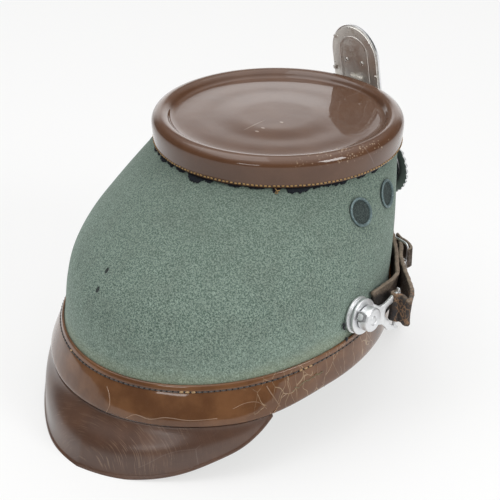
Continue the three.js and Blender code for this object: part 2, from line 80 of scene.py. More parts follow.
# How far the band's foot spreads at the rear and draws in at the sides, and the angles between.
FLARE_REAR = 6.0
FLARE_SIDE = -1.5
FLARE_START = 45
FLARE_END = 80
PLATE_HALF_WIDTH = 54.0
PLATE_HALF_HEIGHT = 26.0
PLATE_LEVEL = 0.4
COCKADE_LEAN = 12
COCKADE_RISE = 36
COCKADE_HALF_HEIGHT = 31
COCKADE_STANDOFF = 4

crown_low, crown_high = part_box("crown")
ORIGIN = Vector(
    ((crown_low.x + crown_high.x) / 2, (crown_low.y + crown_high.y) / 2, crown_high.z - CROWN_ROLL * MM)
)

# How far the rear of the felt wall has moved out, for a share of the drop to the head band.
WALL_ROWS = [
    (0, 0), (0.07, 0.125), (0.15, 0.27), (0.3, 0.525), (0.45, 0.755),
    (0.6, 0.9), (0.75, 0.96), (0.9, 0.985), (1, 1),
]
# A peak's free edge from its middle, 0, to its corner, 1: shares of its reach and of its drop.
REAR_OUT = [(0, 1), (0.2, 0.84), (0.4, 0.57), (0.55, 0.39), (0.7, 0.24), (0.85, 0.17), (1, 0.03)]
REAR_DOWN = [(0, 1), (0.2, 1), (0.4, 0.94), (0.55, 0.83), (0.7, 0.64), (0.85, 0.43), (1, 0.04)]
FRONT_OUT = [(0, 1), (0.3, 0.93), (0.5, 0.76), (0.7, 0.4), (0.85, 0.16), (1, 0.02)]
FRONT_DOWN = [(0, 1), (0.3, 1), (0.5, 0.92), (0.7, 0.62), (0.85, 0.32), (1, 0.04)]
# The straps as (angle from the rear, level on the wall, distance from it, outward lean of the upper edge).
LONG_STRAP = [
    (112, 0.98, 14, 0), (120, 0.98, 13.5, 0), (132, 0.95, 9, 0), (146, 0.93, 6, 0), (180, 0.94, 5.5, 0),
    (205, 0.93, 3.6, 0.05), (219, 0.92, 1.9, 0.08), (224.5, 0.93, 1.7, 0.1), (231, 0.93, 1.8, 0.12),
    (238, 0.925, 2.7, 0.12), (245, 0.91, 4.7, 0.10), (250, 0.89, 5.0, 0), (254.5, 0.875, 4.6, -0.15),
    (258, 0.87, 4.0, -0.25), (261, 0.87, 3.2, -0.25),
]
SHORT_STRAP = [
    (258, 0.905, 20.3, 0.04), (254.5, 0.905, 18.3, 0.14), (250.5, 0.91, 14.2, 0.28), (246, 0.915, 10.2, 0.28),
    (241.5, 0.92, 7.2, 0.22), (236.5, 0.925, 5.2, 0.15), (231, 0.93, 4.3, 0.10), (226.5, 0.93, 5.3, 0.06),
    (222, 0.925, 5.6, 0.05),
]
# The middle of the strap's end over the buckle, as (x, y) in millimetres, and its height.
TAIL_LEVEL = -77.9
STRAP_TAIL = [(-55, -44.5), (-59.6, -41.6), (-64.6, -40.0), (-69.0, -37.2), (-71.6, -34.2), (-71.4, -31.2)]
# The strap's way round the lug's bar, as shares of the turn's radius.
FOLD = [(1.1, -1.05), (0.5, -1.05), (0, -1), (-0.75, -0.7), (-1, 0), (-0.75, 0.7), (0.1, 1.05)]

# The fittings: levels are shares of the drop to the head band, the rest millimetres and degrees.
VENTS = [
    (f"{name}_{row + 1}", side * (85.5 + row * 19.5))
    for side, name in ((-1, "right"), (1, "left"))
    for row in (0, 1)
]
VENT_LEVEL = 0.21
VENT_HOLE = 7.6
VENT_CLOTH = 6.7
POST_LEVEL = 0.863
POST_ANGLE = 91.5
LUG_RING = 21.0
LUG_METAL = 2.0
LUG_AHEAD = 25.0
LUG_BAR = 3.0
LUG_FOLD = LUG_RING / 2 - LUG_METAL
LUG_LOW = 3.8
LUG_BEND = 22
LUG_SWING = 13
# How far above the posts' level the strap turns round the lugs' bars, as a share of the drop.
LUG_RAISE = 0.022
STRAP_WIDTH = 16.0
STRAP_LEATHER = 2.0
# The part of the rear peak with most scratches, as (centre, reach) in the frame.
HATCHED = (ORIGIN + Vector((-0.014, 0.153, -0.116)), (0.044, 0.030, 0.030))
# Cracks and scratches of the band's lacquer as (points of height share and angle, half width in millimetres).
SCARS = [
    ([(0.36, -2.8), (0.50, -4.2), (0.66, -5.2), (0.84, -5.2), (0.95, -4.6)], 0.26),
    ([(0.93, -12.0), (0.80, -14.8), (0.84, -19.8), (0.76, -24.7), (0.80, -32.3), (0.78, -40.5)], 0.22),
    ([(0.60, -45.2), (0.52, -48.9), (0.56, -52.9), (0.78, -55.5)], 0.15),
    ([(0.24, -56.2), (0.43, -57.3), (0.62, -58.5), (0.84, -59.8)], 0.34),
    ([(0.95, -57.6), (0.80, -59.4), (0.66, -60.4), (0.60, -62.5)], 0.30),
    ([(0.20, -63.0), (0.40, -63.8), (0.66, -64.0), (0.95, -65.2)], 0.14),
    ([(0.22, -74.0), (0.50, -74.5), (0.95, -77.0)], 0.13),
]
# Blisters on the crown's top and a scratch with its turn in radians.
BLISTERS = [(-8.7, 7.4), (-6.0, 20.3), (-6.4, 25.9)]
SCRATCH = (0.5, 19.9)
SCRATCH_TURN = -1.568


# Sizes and colours


def length(name, description, default):
    return bpy.props.FloatProperty(
        name=name, description=description, default=default, min=0.0, unit="LENGTH", precision=5
    )


def amount(name, description, default, unit="NONE"):
    return bpy.props.FloatProperty(name=name, description=description, default=default, min=0.0, unit=unit)


def colour(name, description, default):
    return bpy.props.FloatVectorProperty(
        name=name, description=description, default=default, size=3, min=0.0, max=1.0, subtype="COLOR"
    )


class HatSizes(bpy.types.PropertyGroup):
    """Sizes of the fine pieces."""

    felt_wall: length("Felt wall", "Thickness of the felt", 0.003)
    crown_stitch: length("Crown stitch", "Pitch of the stitches round the crown", 0.0023)
    crown_stitch_rise: length(
        "Crown stitch height", "Distance of the stitches above the crown's edge", 0.0013
    )
    band_stitch: length("Band stitch", "Pitch of the stitches along the head band", 0.0031)
    thread: length("Thread", "Thickness of the sewing thread", 0.0009)
    underlay_drop: length("Underlay", "Least drop of the felt underlay below the crown", 0.00015)
    peak_bead: length("Peak bead", "Width of the raised edge of the peaks", 0.0021)
    vent_lip: length("Vent lip", "Height of the vents' lip", 0.0009)
    strap_edge: length("Strap edge", "Rounding of the strap's edges", 0.0006)
    buckle_wire: length("Buckle wire", "Thickness of the buckle's frame", 0.0016)


class HatColours(bpy.types.PropertyGroup):
    """Colours of the finishes."""

    felt: colour("Felt", "Middle tone of the felt", (0.150, 0.224, 0.178))
    felt_deep: colour("Felt, deep", "Dark fibres of the felt", (0.044, 0.080, 0.066))
    felt_pale: colour("Felt, pale", "Pale fibres of the felt", (0.370, 0.460, 0.388))
    felt_stain: colour("Felt stain", "Tint of the felt near the head band", (0.300, 0.315, 0.185))
    underlay: colour("Underlay", "Black felt under the crown's edge", (0.010, 0.012, 0.016))
    crown: colour("Crown", "Patent leather of the crown", (0.112, 0.050, 0.024))
    crown_deep: colour("Crown, deep", "Dark places of the crown", (0.096, 0.041, 0.019))
    band: colour("Band", "Patent leather of the head band", (0.175, 0.076, 0.029))
    band_deep: colour("Band, deep", "Dark places of the head band", (0.108, 0.043, 0.015))
    peak: colour("Peak", "Patent leather of the peaks", (0.106, 0.048, 0.025))
    peak_deep: colour("Peak, deep", "Dark places of the peaks", (0.072, 0.031, 0.016))
    thread: colour("Crown thread", "Thread of the crown's seam", (0.56, 0.33, 0.11))
    thread_dark: colour("Band thread", "Thread of the head band's seam", (0.120, 0.105, 0.095))
    strap: colour("Strap", "Leather of the chin strap", (0.072, 0.048, 0.034))
    strap_edge: colour("Strap, edges", "Fuzzy cut edges of the chin strap", (0.250, 0.195, 0.145))
    strap_worn: colour("Strap, worn", "Worn places of the chin strap", (0.34, 0.19, 0.10))
    aluminium: colour("Aluminium", "Posts, lugs and plate", (0.85, 0.86, 0.87))
    steel: colour("Steel", "Back of the cockade", (0.86, 0.84, 0.80))
    stain: colour("Metal stain", "Yellow stain on the steel", (0.38, 0.30, 0.16))
    vent: colour("Vent", "Paint of the vents", (0.165, 0.235, 0.240))
    gauze: colour("Gauze", "Wire cloth of the vents", (0.050, 0.064, 0.062))
    floor: colour("Floor", "The floor", (0.30, 0.30, 0.30))


class HatStage(bpy.types.PropertyGroup):
    """Camera and lights."""

    camera_place: bpy.props.FloatVectorProperty(
        name="Camera", description="Place of the camera", default=(-0.4658, 0.5399, 0.4495),
        size=3, subtype="TRANSLATION",
    )
    lens: bpy.props.FloatProperty(
        name="Lens", description="Focal length for a 36 mm sensor", default=102.34, min=1.0, unit="CAMERA"
    )
    ceiling: amount("Ceiling", "Brightness of the room above", 1.1)
    backdrop: amount("Backdrop", "Brightness of the backdrop", 1.4)
    top_light: amount("Top light", "Power of the large light above", 2.6, "POWER")
    left_light: amount("Left light", "Power of the wide light high on the left", 5.0, "POWER")
    right_light: amount("Right light", "Power of the bright light on the right", 7.0, "POWER")
    front_light: amount("Front light", "Power of the small light beside the camera", 1.3, "POWER")


# Places on the hat


def mix(a, b, share):
    return a + (b - a) * share


def smooth(low, high, value):
    share = min(max((value - low) / (high - low), 0.0), 1.0)
    return share * share * (3 - 2 * share)


def eased(rows, value):
    """A smooth value through rows of (place, amount)."""
    last = len(rows) - 1
    if value <= rows[0][0]:
        return rows[0][1]
    if value >= rows[last][0]:
        return rows[last][1]
    k = next(i for i in range(1, last + 1) if value <= rows[i][0])

    def slope(i):
        low, high = max(i - 1, 0), min(i + 1, last)
        return (rows[high][1] - rows[low][1]) / (rows[high][0] - rows[low][0])

    (x0, y0), (x1, y1) = rows[k - 1], rows[k]
    step = x1 - x0
    t = (value - x0) / step
    a, b = slope(k - 1) * step, slope(k) * step
    return (
        y0 * (2 * t**3 - 3 * t**2 + 1)
        + a * (t**3 - 2 * t**2 + t)
        + y1 * (3 * t**2 - 2 * t**3)
        + b * (t**3 - t**2)
    )


def rounded(rows, value):
    """A value through rows, evened out over its neighbours."""
    reach = min(0.10, value, 1 - value)
    return sum(eased(rows, value + reach * k / 3) * (4 - abs(k)) for k in range(-3, 4)) / 16


def on_hat(point):
    """A point in millimetres about the crown's centre, as a place in the frame."""
    return ORIGIN + Vector(point) * MM


def flare(angle):
    from_rear = abs((angle + 180) % 360 - 180)
    return mix(FLARE_REAR, FLARE_SIDE, smooth(FLARE_START, FLARE_END, from_rear))


def wall_section(share):
    grown = eased(WALL_ROWS, share)
    moved = min(max(share, 0.0), 1.0)
    rear = mix(COLLAR_RADIUS, BASE_REAR, grown)
    front = mix(-COLLAR_RADIUS, BASE_FRONT, moved)
    half_width = mix(COLLAR_RADIUS, BASE_HALF_WIDTH, grown)
    return (rear + front) / 2, (rear - front) / 2, half_width, BASE_SLOPE * moved


def wall_point(share, angle, out=0.0):
    """A point of the felt wall: share 0 at the crown's edge, 1 at the head band; angle 0 at the rear."""
    centre, half_length, half_width, slope = wall_section(share)
    turn = math.radians(angle)
    x = half_width * math.sin(turn)
    y = half_length * math.cos(turn)
    nx, ny = x / half_width**2, y / half_length**2
    size = math.hypot(nx, ny)
    spread = max(share - 1, 0.0) / (BAND_SHARE - 1) * flare(angle) + out
    return Vector(
        (x + nx / size * spread, centre + y + ny / size * spread, WALL_TOP - share * WALL_DROP + y * slope)
    )


def wall_normal(share, angle):
    step = 0.01
    along = wall_point(share, angle + 1) - wall_point(share, angle - 1)
    down = wall_point(share + step, angle) - wall_point(max(share - step, 0.0), angle)
    return along.cross(down).normalized()


def wall_frame(share, angle, swing=0.0, kick=0.0):
    """The frame of a piece made about +Z and set on the wall, its +X towards the front."""
    outward = wall_normal(share, angle)
    ahead = wall_point(share, angle + math.copysign(1, angle)) - wall_point(share, angle)
    ahead -= outward * ahead.dot(outward)
    ahead.normalize()
    upward = outward.cross(ahead)
    if upward.z < 0:
        upward.negate()
    basis = Matrix((ahead, upward, outward)).transposed().to_4x4()
    turned = Matrix.Rotation(-math.radians(swing), 4, "Z") @ Matrix.Rotation(math.radians(kick), 4, "Y")
    return Matrix.Translation(wall_point(share, angle)) @ basis @ turned


def in_frame(matrix):
    """A matrix in millimetres about the crown's centre, as one for places in the frame."""
    return Matrix.Translation(ORIGIN) @ Matrix.Scale(MM, 4) @ matrix


def lug_bend():
    return (
        Matrix.Translation((LUG_FOLD, 0, LUG_LOW))
        @ Matrix.Rotation(-math.radians(LUG_BEND), 4, "Y")
        @ Matrix.Translation((-LUG_FOLD, 0, 0))
    )


def plate_point(across, up, out):
    """A point on the front, on the form of the plate there."""
    x = across * PLATE_HALF_WIDTH
    level = PLATE_LEVEL - up * PLATE_HALF_HEIGHT / WALL_DROP
    half_width = wall_section(level)[2]
    angle = 180 - math.degrees(math.asin(x / half_width))
    wall = wall_point(level, angle)
    middle = wall_point(level, 180)
    return Vector((x, mix(wall.y, middle.y, 0.5) - out, wall.z))


def cockade_frame():
    lean = math.radians(COCKADE_LEAN)
    return (
        Matrix.Translation((0, -CROWN_RADIUS - COCKADE_STANDOFF, 0))
        @ Matrix.Rotation(math.pi / 2 - lean, 4, "X")
        @ Matrix.Translation((0, COCKADE_RISE / math.cos(lean) - COCKADE_HALF_HEIGHT, 0))
    )


class Route:
    """A smooth line through points, measured along its length."""

    def __init__(self, points, steps=14):
        ends = [points[0] * 2 - points[1], *points, points[-1] * 2 - points[-2]]
        self.points = [points[0]]
        for k in range(1, len(ends) - 2):
            a, b, c, d = ends[k - 1 : k + 3]
            ta = max((b - a).length, 1e-6) ** 0.5
            tb = max((c - b).length, 1e-6) ** 0.5
            tc = max((d - c).length, 1e-6) ** 0.5
            leave = ((b - a) / ta - (c - a) / (ta + tb) + (c - b) / tb) * tb
            reach = ((c - b) / tb - (d - b) / (tb + tc) + (d - c) / tc) * tb
            for i in range(1, steps + 1):
                t = i / steps
                self.points.append(
                    b * (2 * t**3 - 3 * t**2 + 1)
                    + leave * (t**3 - 2 * t**2 + t)
                    + c * (3 * t**2 - 2 * t**3)
                    + reach * (t**3 - t**2)
                )
        self.travel = [0.0]
        for a, b in zip(self.points, self.points[1:]):
            self.travel.append(self.travel[-1] + (b - a).length)
        self.length = self.travel[-1]

    def at(self, distance):
        distance = min(max(distance, 0.0), self.length)
        k = 1
        while k < len(self.travel) - 1 and self.travel[k] < distance:
            k += 1
        span = self.travel[k] - self.travel[k - 1]
        share = (distance - self.travel[k - 1]) / span if span else 0.0
        return self.points[k - 1].lerp(self.points[k], share)

    def along(self, distance):
        step = 0.4
        return (self.at(distance + step) - self.at(distance - step)).normalized()


# Meshes


def face_out(bm):
    if bm.calc_volume(signed=True) < 0:
        bmesh.ops.reverse_faces(bm, faces=bm.faces)


def wrap(profile, columns, place, closed=True):
    """A grid laid round a profile of spots and along turns from 0 to 1, joined up at its seams."""
    spots = [*profile, profile[0]]
    rows = len(spots) - 1
    bm = bmesh.new()
    uv = bm.loops.layers.uv.new("UVMap")
    bmesh.ops.create_grid(bm, x_segments=columns, y_segments=rows, size=0.5)
    for face in bm.faces:
        for loop in face.loops:
            loop[uv].uv = (loop.vert.co.x + 0.5, loop.vert.co.y + 0.5)
    for vert in bm.verts:
        vert.co = place(vert.co.x + 0.5, spots[round((vert.co.y + 0.5) * rows)])
    bmesh.ops.remove_doubles(bm, verts=bm.verts, dist=2e-6)
    if not closed:
        bmesh.ops.holes_fill(bm, edges=[e for e in bm.edges if e.is_boundary], sides=0)
    face_out(bm)
    return bm


def spun(profile, steps, matrix):
    """A round piece turned about +Z from [radius, height] points in millimetres."""
    bm = bmesh.new()
    verts = [bm.verts.new((r, 0, z)) for r, z in profile]
    edges = [bm.edges.new(pair) for pair in zip(verts, verts[1:])]
    bmesh.ops.spin(
        bm, geom=[*verts, *edges], cent=(0, 0, 0), axis=(0, 0, 1), angle=2 * math.pi, steps=steps,
        use_merge=True
    )
    bmesh.ops.remove_doubles(bm, verts=bm.verts, dist=1e-4)
    bmesh.ops.transform(bm, matrix=matrix, verts=bm.verts)
    face_out(bm)
    return bm


def cut_out(outline, thickness, edge, matrix):
    """A flat piece with softened edges, extruded from an outline in millimetres."""
    bm = bmesh.new()
    face = bm.faces.new([bm.verts.new((x, y, 0)) for x, y in outline])
    raised = bmesh.ops.extrude_face_region(bm, geom=[face])["geom"]
    verts = [v for v in raised if isinstance(v, bmesh.types.BMVert)]
    bmesh.ops.translate(bm, vec=(0, 0, thickness), verts=verts)
    rims = [e for e in bm.edges if abs(e.verts[0].co.z - e.verts[1].co.z) < 1e-6]
    bmesh.ops.bevel(
        bm, geom=rims, offset=edge, offset_type="OFFSET", segments=2, profile=0.5, affect="EDGES",
        material=-1, clamp_overlap=True,
    )
    bmesh.ops.transform(bm, matrix=matrix, verts=bm.verts)
    face_out(bm)
    return bm


def wire(route, radius, matrix, steps, closed=False, flat=1.0):
    """A round wire along a route in millimetres, flattened in Z if flat is under 1."""
    sides = 8
    spots = [(math.cos(2 * math.pi * k / sides), math.sin(2 * math.pi * k / sides)) for k in range(sides)]

    def place(turn, spot):
        distance = turn * route.length
        along = route.along(distance if not closed else min(max(distance, 0.4), route.length - 0.4))
        side = Vector((0, 0, 1)).cross(along)
        side = side.normalized() if side.length > 0.1 else Vector((1, 0, 0))
        up = along.cross(side).normalized()
        return matrix @ (route.at(distance) + side * radius * spot[0] + up * radius * flat * spot[1])

    return wrap(spots, steps, place, closed)


def joined(parts):
    """Several meshes as one."""
    bm = bmesh.new()
    for part in parts:
        mesh = bpy.data.meshes.new("part")
        part.to_mesh(mesh)
        part.free()
        bm.from_mesh(mesh)
        bpy.data.meshes.remove(mesh)
    return bm


def stitches(places, size, rise):
    """Short threads: each place is a point, the way along the seam and the way out."""
    bm = bmesh.new()
    for point, along, outward in places:
        side = outward.cross(along).normalized()
        basis = Matrix((along.normalized(), side, outward)).transposed().to_4x4()
        shape = Matrix.Diagonal((size, rise, rise, 1))
        bmesh.ops.create_icosphere(
            bm, subdivisions=2, radius=1.0, matrix=Matrix.Translation(point) @ basis @ shape
        )
    return bm


def piece(bm, name, material, nodes=(), sharp=None):
    """The finished mesh as an object that rides on the hat."""
    mesh = bpy.data.meshes.new(name)
    bm.to_mesh(mesh)
    bm.free()
    mesh.shade_smooth()
    if sharp:
        mesh.set_sharp_from_angle(angle=math.radians(sharp))
    mesh.materials.append(material)
    obj = bpy.data.objects.new(name, mesh)
    bpy.context.scene.collection.objects.link(obj)
    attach(obj, "root")
    if nodes:
        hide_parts(*nodes)
    return obj


# Finishes


class Finish:
    """A material that is built up node by node."""

    def __init__(self, name, **values):
        self.material = bpy.data.materials.new(name)
        self.material.use_nodes = True
        self.tree = self.material.node_tree
        self.tree.nodes.clear()
        self.shader = self.tree.nodes.new("ShaderNodeBsdfPrincipled")
        output = self.tree.nodes.new("ShaderNodeOutputMaterial")
        self.tree.links.new(self.shader.outputs["BSDF"], output.inputs["Surface"])
        coordinates = self.tree.nodes.new("ShaderNodeTexCoord")
        self.place = coordinates.outputs["Object"]
        self.uv = coordinates.outputs["UV"]
        for socket, value in values.items():
            self.shader.inputs[socket.replace("_", " ")].default_value = value

    def node(self, kind, inputs=(), **settings):
        made = self.tree.nodes.new("ShaderNode" + kind)
        for key, value in settings.items():
            setattr(made, key, value)
        for key, value in dict(inputs).items():
            if isinstance(value, bpy.types.NodeSocket):
                self.tree.links.new(value, made.inputs[key])
            else:
                made.inputs[key].default_value = value
        return made

    def link(self, value, socket):
        self.tree.links.new(value, self.shader.inputs[socket])

    def mapped(self, scale, turn=(0, 0, 0), source=None):
        inputs = {"Vector": source or self.place, "Scale": scale, "Rotation": turn}
        return self.node("Mapping", inputs).outputs["Vector"]

    def noise(self, scale, detail=3.0, rough=0.6, source=None):
        inputs = {"Vector": source or self.place, "Scale": scale, "Detail": detail, "Roughness": rough}
        return self.node("TexNoise", inputs).outputs["Fac"]

    def cells(self, scale, feature="F1", source=None):
        inputs = {"Vector": source or self.place, "Scale": scale}
        return self.node("TexVoronoi", inputs, feature=feature).outputs["Distance"]

    def maths(self, operation, a, b=0.0, c=0.0):
        return self.node("Math", {0: a, 1: b, 2: c}, operation=operation).outputs[0]

    def times(self, a, b):
        return self.maths("MULTIPLY", a, b)

    def of_all(self, operation, values):
        """One operation taken over several values in turn."""
        total = values[0]
        for value in values[1:]:
            total = self.maths(operation, total, value)
        return total

    def step(self, value, low, high, start=0.0, end=1.0):
        """Start below low, end above high, smooth between them."""
        return self.node(
            "MapRange", {"Value": value, "From Min": low, "From Max": high, "To Min": start, "To Max": end},
            interpolation_type="SMOOTHSTEP",
        ).outputs["Result"]

    def blend(self, share, a, b):
        made = self.node("Mix", data_type="RGBA")
        for key, value in ((0, share), (6, a), (7, b)):
            if isinstance(value, bpy.types.NodeSocket):
                self.tree.links.new(value, made.inputs[key])
            elif key:
                made.inputs[key].default_value = (*value, 1.0)
            else:
                made.inputs[key].default_value = value
        return made.outputs[2]

    def over(self, base, tone, mask, share):
        """A tone laid over a base where a mask is 1."""
        return self.blend(self.times(mask, share), base, tone)

    def bump(self, height, distance, strength=1.0, normal=None):
        made = self.node("Bump", {"Height": height, "Distance": distance, "Strength": strength})
        if normal:
            self.tree.links.new(normal, made.inputs["Normal"])
        return made.outputs["Normal"]

    def bent(self, scale, reach):
        """The place, moved about by a slow noise."""
        warp = self.node("TexNoise", {"Vector": self.place, "Scale": scale, "Detail": 1.0}).outputs["Color"]
        warp = self.node("VectorMath", {0: warp, 1: (reach,) * 3}, operation="MULTIPLY").outputs[0]
        return self.node("VectorMath", {0: self.place, 1: warp}, operation="ADD").outputs[0]

    def near(self, centre, reach, ragged=0.0, turn=0.0):
        """1 inside an ellipsoid about a place of the frame, 0 outside."""
        values = {"Vector": self.place, "Location": centre, "Rotation": (0, 0, turn), "Scale": reach}
        spread = self.node("Mapping", values, vector_type="TEXTURE").outputs["Vector"]
        away = self.node("VectorMath", {0: spread}, operation="LENGTH").outputs["Value"]
        if ragged:
            away = self.maths("MULTIPLY_ADD", self.noise(900, 2), ragged, away)
            away = self.maths("SUBTRACT", away, ragged / 2)
        return self.step(away, 1.15, 0.85)


def lifted(colour, share):
    """A paler tone of a colour."""
    return tuple(mix(c, 1.0, share) for c in colour)


def dimmed(colour, share):
    """A darker tone of a colour, or a brighter one for a share over 1."""
    return tuple(c * share for c in colour)


def felt_finish(colours):
    made = Finish("wool_felt", Roughness=0.95, Sheen_Weight=0.25, Sheen_Roughness=0.5, Specular_IOR_Level=0.2)
    made.shader.inputs["Sheen Tint"].default_value = (0.75, 0.85, 0.8, 1.0)
    bent = made.bent(420.0, 0.0030)
    fibres = [
        made.noise(1.0, 2, 0.6, made.mapped(scale, turn, source=bent))
        for scale, turn in (
            ((850, 850, 2700), (0.5, 0.3, 0.2)), ((2700, 850, 850), (0.3, 0.9, 0.4)),
            ((850, 2700, 850), (0.9, 0.2, 0.7)),
        )
    ]
    streaks = made.of_all("MAXIMUM", fibres)
    lows = made.of_all("MINIMUM", fibres)
    mottle = made.noise(1250, 3, 0.75)
    patches = made.noise(70, 3, 0.55)
    base = made.blend(made.step(mottle, 0.40, 0.62), colours.felt_deep, colours.felt_pale)
    base = made.blend(0.28, base, colours.felt)
    base = made.blend(made.step(streaks, 0.58, 0.74, 0.0, 0.9), base, colours.felt_pale)
    base = made.blend(made.step(lows, 0.43, 0.26, 0.0, 0.8), base, colours.felt_deep)
    base = made.blend(made.step(patches, 0.40, 0.72, 0.0, 0.20), base, (0.120, 0.135, 0.115))
    # Darker higher above the head band's plane, paler just above it.
    height = made.node(
        "VectorMath", {0: made.place, 1: (0, 0.084, 1)}, operation="DOT_PRODUCT"
    ).outputs["Value"]
    height = made.maths("MULTIPLY_ADD", made.noise(60, 3), -0.010, height)
    base = made.blend(made.step(height, 0.060, 0.145, 0.0, 0.46), base, (0.088, 0.112, 0.090))
    base = made.blend(made.step(height, 0.085, 0.040, 0.0, 0.22), base, colours.felt_pale)
    stained = made.step(height, 0.062, 0.047, 0.0, 0.5)
    base = made.blend(stained, base, colours.felt_stain)
    # Painted shade: the two slits in the felt are painted near black for the dark inside them, with a dent in
    # the bump.
    slit_shades = [
        made.near(on_hat((14.5, 124.1, -51.6)), (0.0011, 0.0016, 0.0024), 0.7),
        made.near(on_hat((14.6, 131.1, -60.1)), (0.0012, 0.0015, 0.0020), 0.7),
    ]
    slit_shade = made.of_all("MAXIMUM", slit_shades)
    base = made.over(base, (0.010, 0.013, 0.014), slit_shade, 0.93)
    lint = made.times(made.step(made.cells(160.0), 0.055, 0.03), made.step(made.noise(33, 2), 0.58, 0.62))
    base = made.over(base, (0.62, 0.66, 0.58), lint, 0.6)
    made.link(base, "Base Color")
    nap = made.maths("ADD", streaks, made.times(mottle, 0.8))
    nap = made.maths("SUBTRACT", nap, made.times(slit_shade, 2.0))
    normal = made.bump(nap, 0.00035, 0.75)
    normal = made.bump(made.noise(38, 2), 0.0012, 0.35, normal)
    made.link(normal, "Normal")
    return made.material


def patent_finish(
    name, light, deep, peel=0.35, hatch=0.0, crazed=None, worn=None, marks=(), haze=0.12, gloss=0.075
):
    """Glossy lacquered leather, where asked with fine scratches, crazing, worn specks and small marks."""
    made = Finish(
        name, Roughness=0.45, Specular_IOR_Level=haze, Coat_Weight=1.0, Coat_Roughness=gloss, Coat_IOR=1.5
    )
    base = made.blend(made.step(made.noise(45, 4, 0.6), 0.36, 0.68), deep, light)
    fine = made.noise(1500, 3, 0.7)
    base = made.blend(made.step(fine, 0.5, 0.8, 0.0, 0.10), base, lifted(light, 0.10))
    bent = made.bent(18.0, 0.030)
    lines = made.cells(11.0, "DISTANCE_TO_EDGE", made.mapped((1, 1, 1.3), (0.4, 0.2, 0.9), source=bent))
    scratch = made.times(made.step(lines, 0.0035, 0.0012), made.step(made.noise(26, 2), 0.54, 0.60))
    base = made.over(base, lifted(light, 0.30), scratch, 0.10)
    relief = made.times(scratch, -0.1)
    if hatch:
        strands = []
        curved = made.bent(14.0, 0.012)
        for turn in (0.2, 0.75, 1.35, 2.3):
            strand = made.noise(
                1.0, 1, 0.5, made.mapped((70, 2500, 70), (0.3 * turn, 0.2, turn), source=curved)
            )
            strands.append(made.step(strand, 0.64, 0.71))
        lines = made.of_all("MAXIMUM", strands)
        spread = made.times(made.step(made.noise(30, 3), 0.38, 0.62), made.near(*HATCHED, 0.6))
        lines = made.times(lines, made.maths("MAXIMUM", spread, 0.12))
        base = made.over(base, (0.36, 0.24, 0.16), lines, hatch)
        relief = made.maths("MULTIPLY_ADD", lines, -0.5 * hatch, relief)
    if crazed:
        centre, reach = crazed
        warped = made.bent(90.0, 0.006)
        grid = made.cells(
            95.0, "DISTANCE_TO_EDGE", made.mapped((2.0, 1.3, 0.5), (0.2, 0.1, 0.5), source=warped)
        )
        cracks = made.times(made.step(grid, 0.017, 0.005), made.near(centre, reach, 0.6))
        cracks = made.times(cracks, made.step(made.noise(110, 2), 0.36, 0.50))
        base = made.over(base, (0.42, 0.30, 0.18), cracks, 0.65)
        relief = made.maths("MULTIPLY_ADD", cracks, -0.8, relief)
    if worn:
        centre, reach, turn = worn
        specks = made.times(made.step(made.cells(700.0), 0.42, 0.26), made.near(centre, reach, 0.9, turn))
        specks = made.times(specks, made.step(made.noise(260, 3), 0.50, 0.60))
        base = made.over(base, (0.48, 0.35, 0.23), specks, 0.55)
        relief = made.maths("MULTIPLY_ADD", specks, -0.6, relief)
    for centre, reach, turn in marks:
        mark = made.near(centre, reach, 0.3, turn)
        base = made.over(base, (0.50, 0.40, 0.32), mark, 0.45)
        relief = made.maths("MULTIPLY_ADD", mark, 0.8, relief)
    made.link(base, "Base Color")
    normal = made.bump(made.noise(42, 3, 0.5), 0.0010, peel)
    normal = made.bump(fine, 0.00003, 0.5, normal)
    normal = made.bump(relief, 0.00012, 0.6, normal)
    made.link(normal, "Normal")
    skin = made.bump(made.noise(30, 2, 0.5), 0.0008, peel * 0.8)
    made.link(made.bump(relief, 0.00008, 0.5, skin), "Coat Normal")
    return made.material


def thread_finish(name, tone):
    made = Finish(name, Roughness=0.8, Sheen_Weight=0.2)
    twist = made.noise(2600, 2, 0.7)
    made.link(made.blend(made.step(twist, 0.35, 0.7), dimmed(tone, 0.45), tone), "Base Color")
    made.link(made.bump(twist, 0.0001, 0.6), "Normal")
    return made.material


def cloth_finish(name, tone):
    made = Finish(name, Roughness=0.95, Sheen_Weight=0.04, Specular_IOR_Level=0.2)
    nap = made.noise(1400, 4, 0.75)
    made.link(made.blend(made.step(nap, 0.45, 0.8), tone, tuple(c * 2.6 + 0.004 for c in tone)), "Base Color")
    made.link(made.bump(nap, 0.0004, 0.8), "Normal")
    return made.material


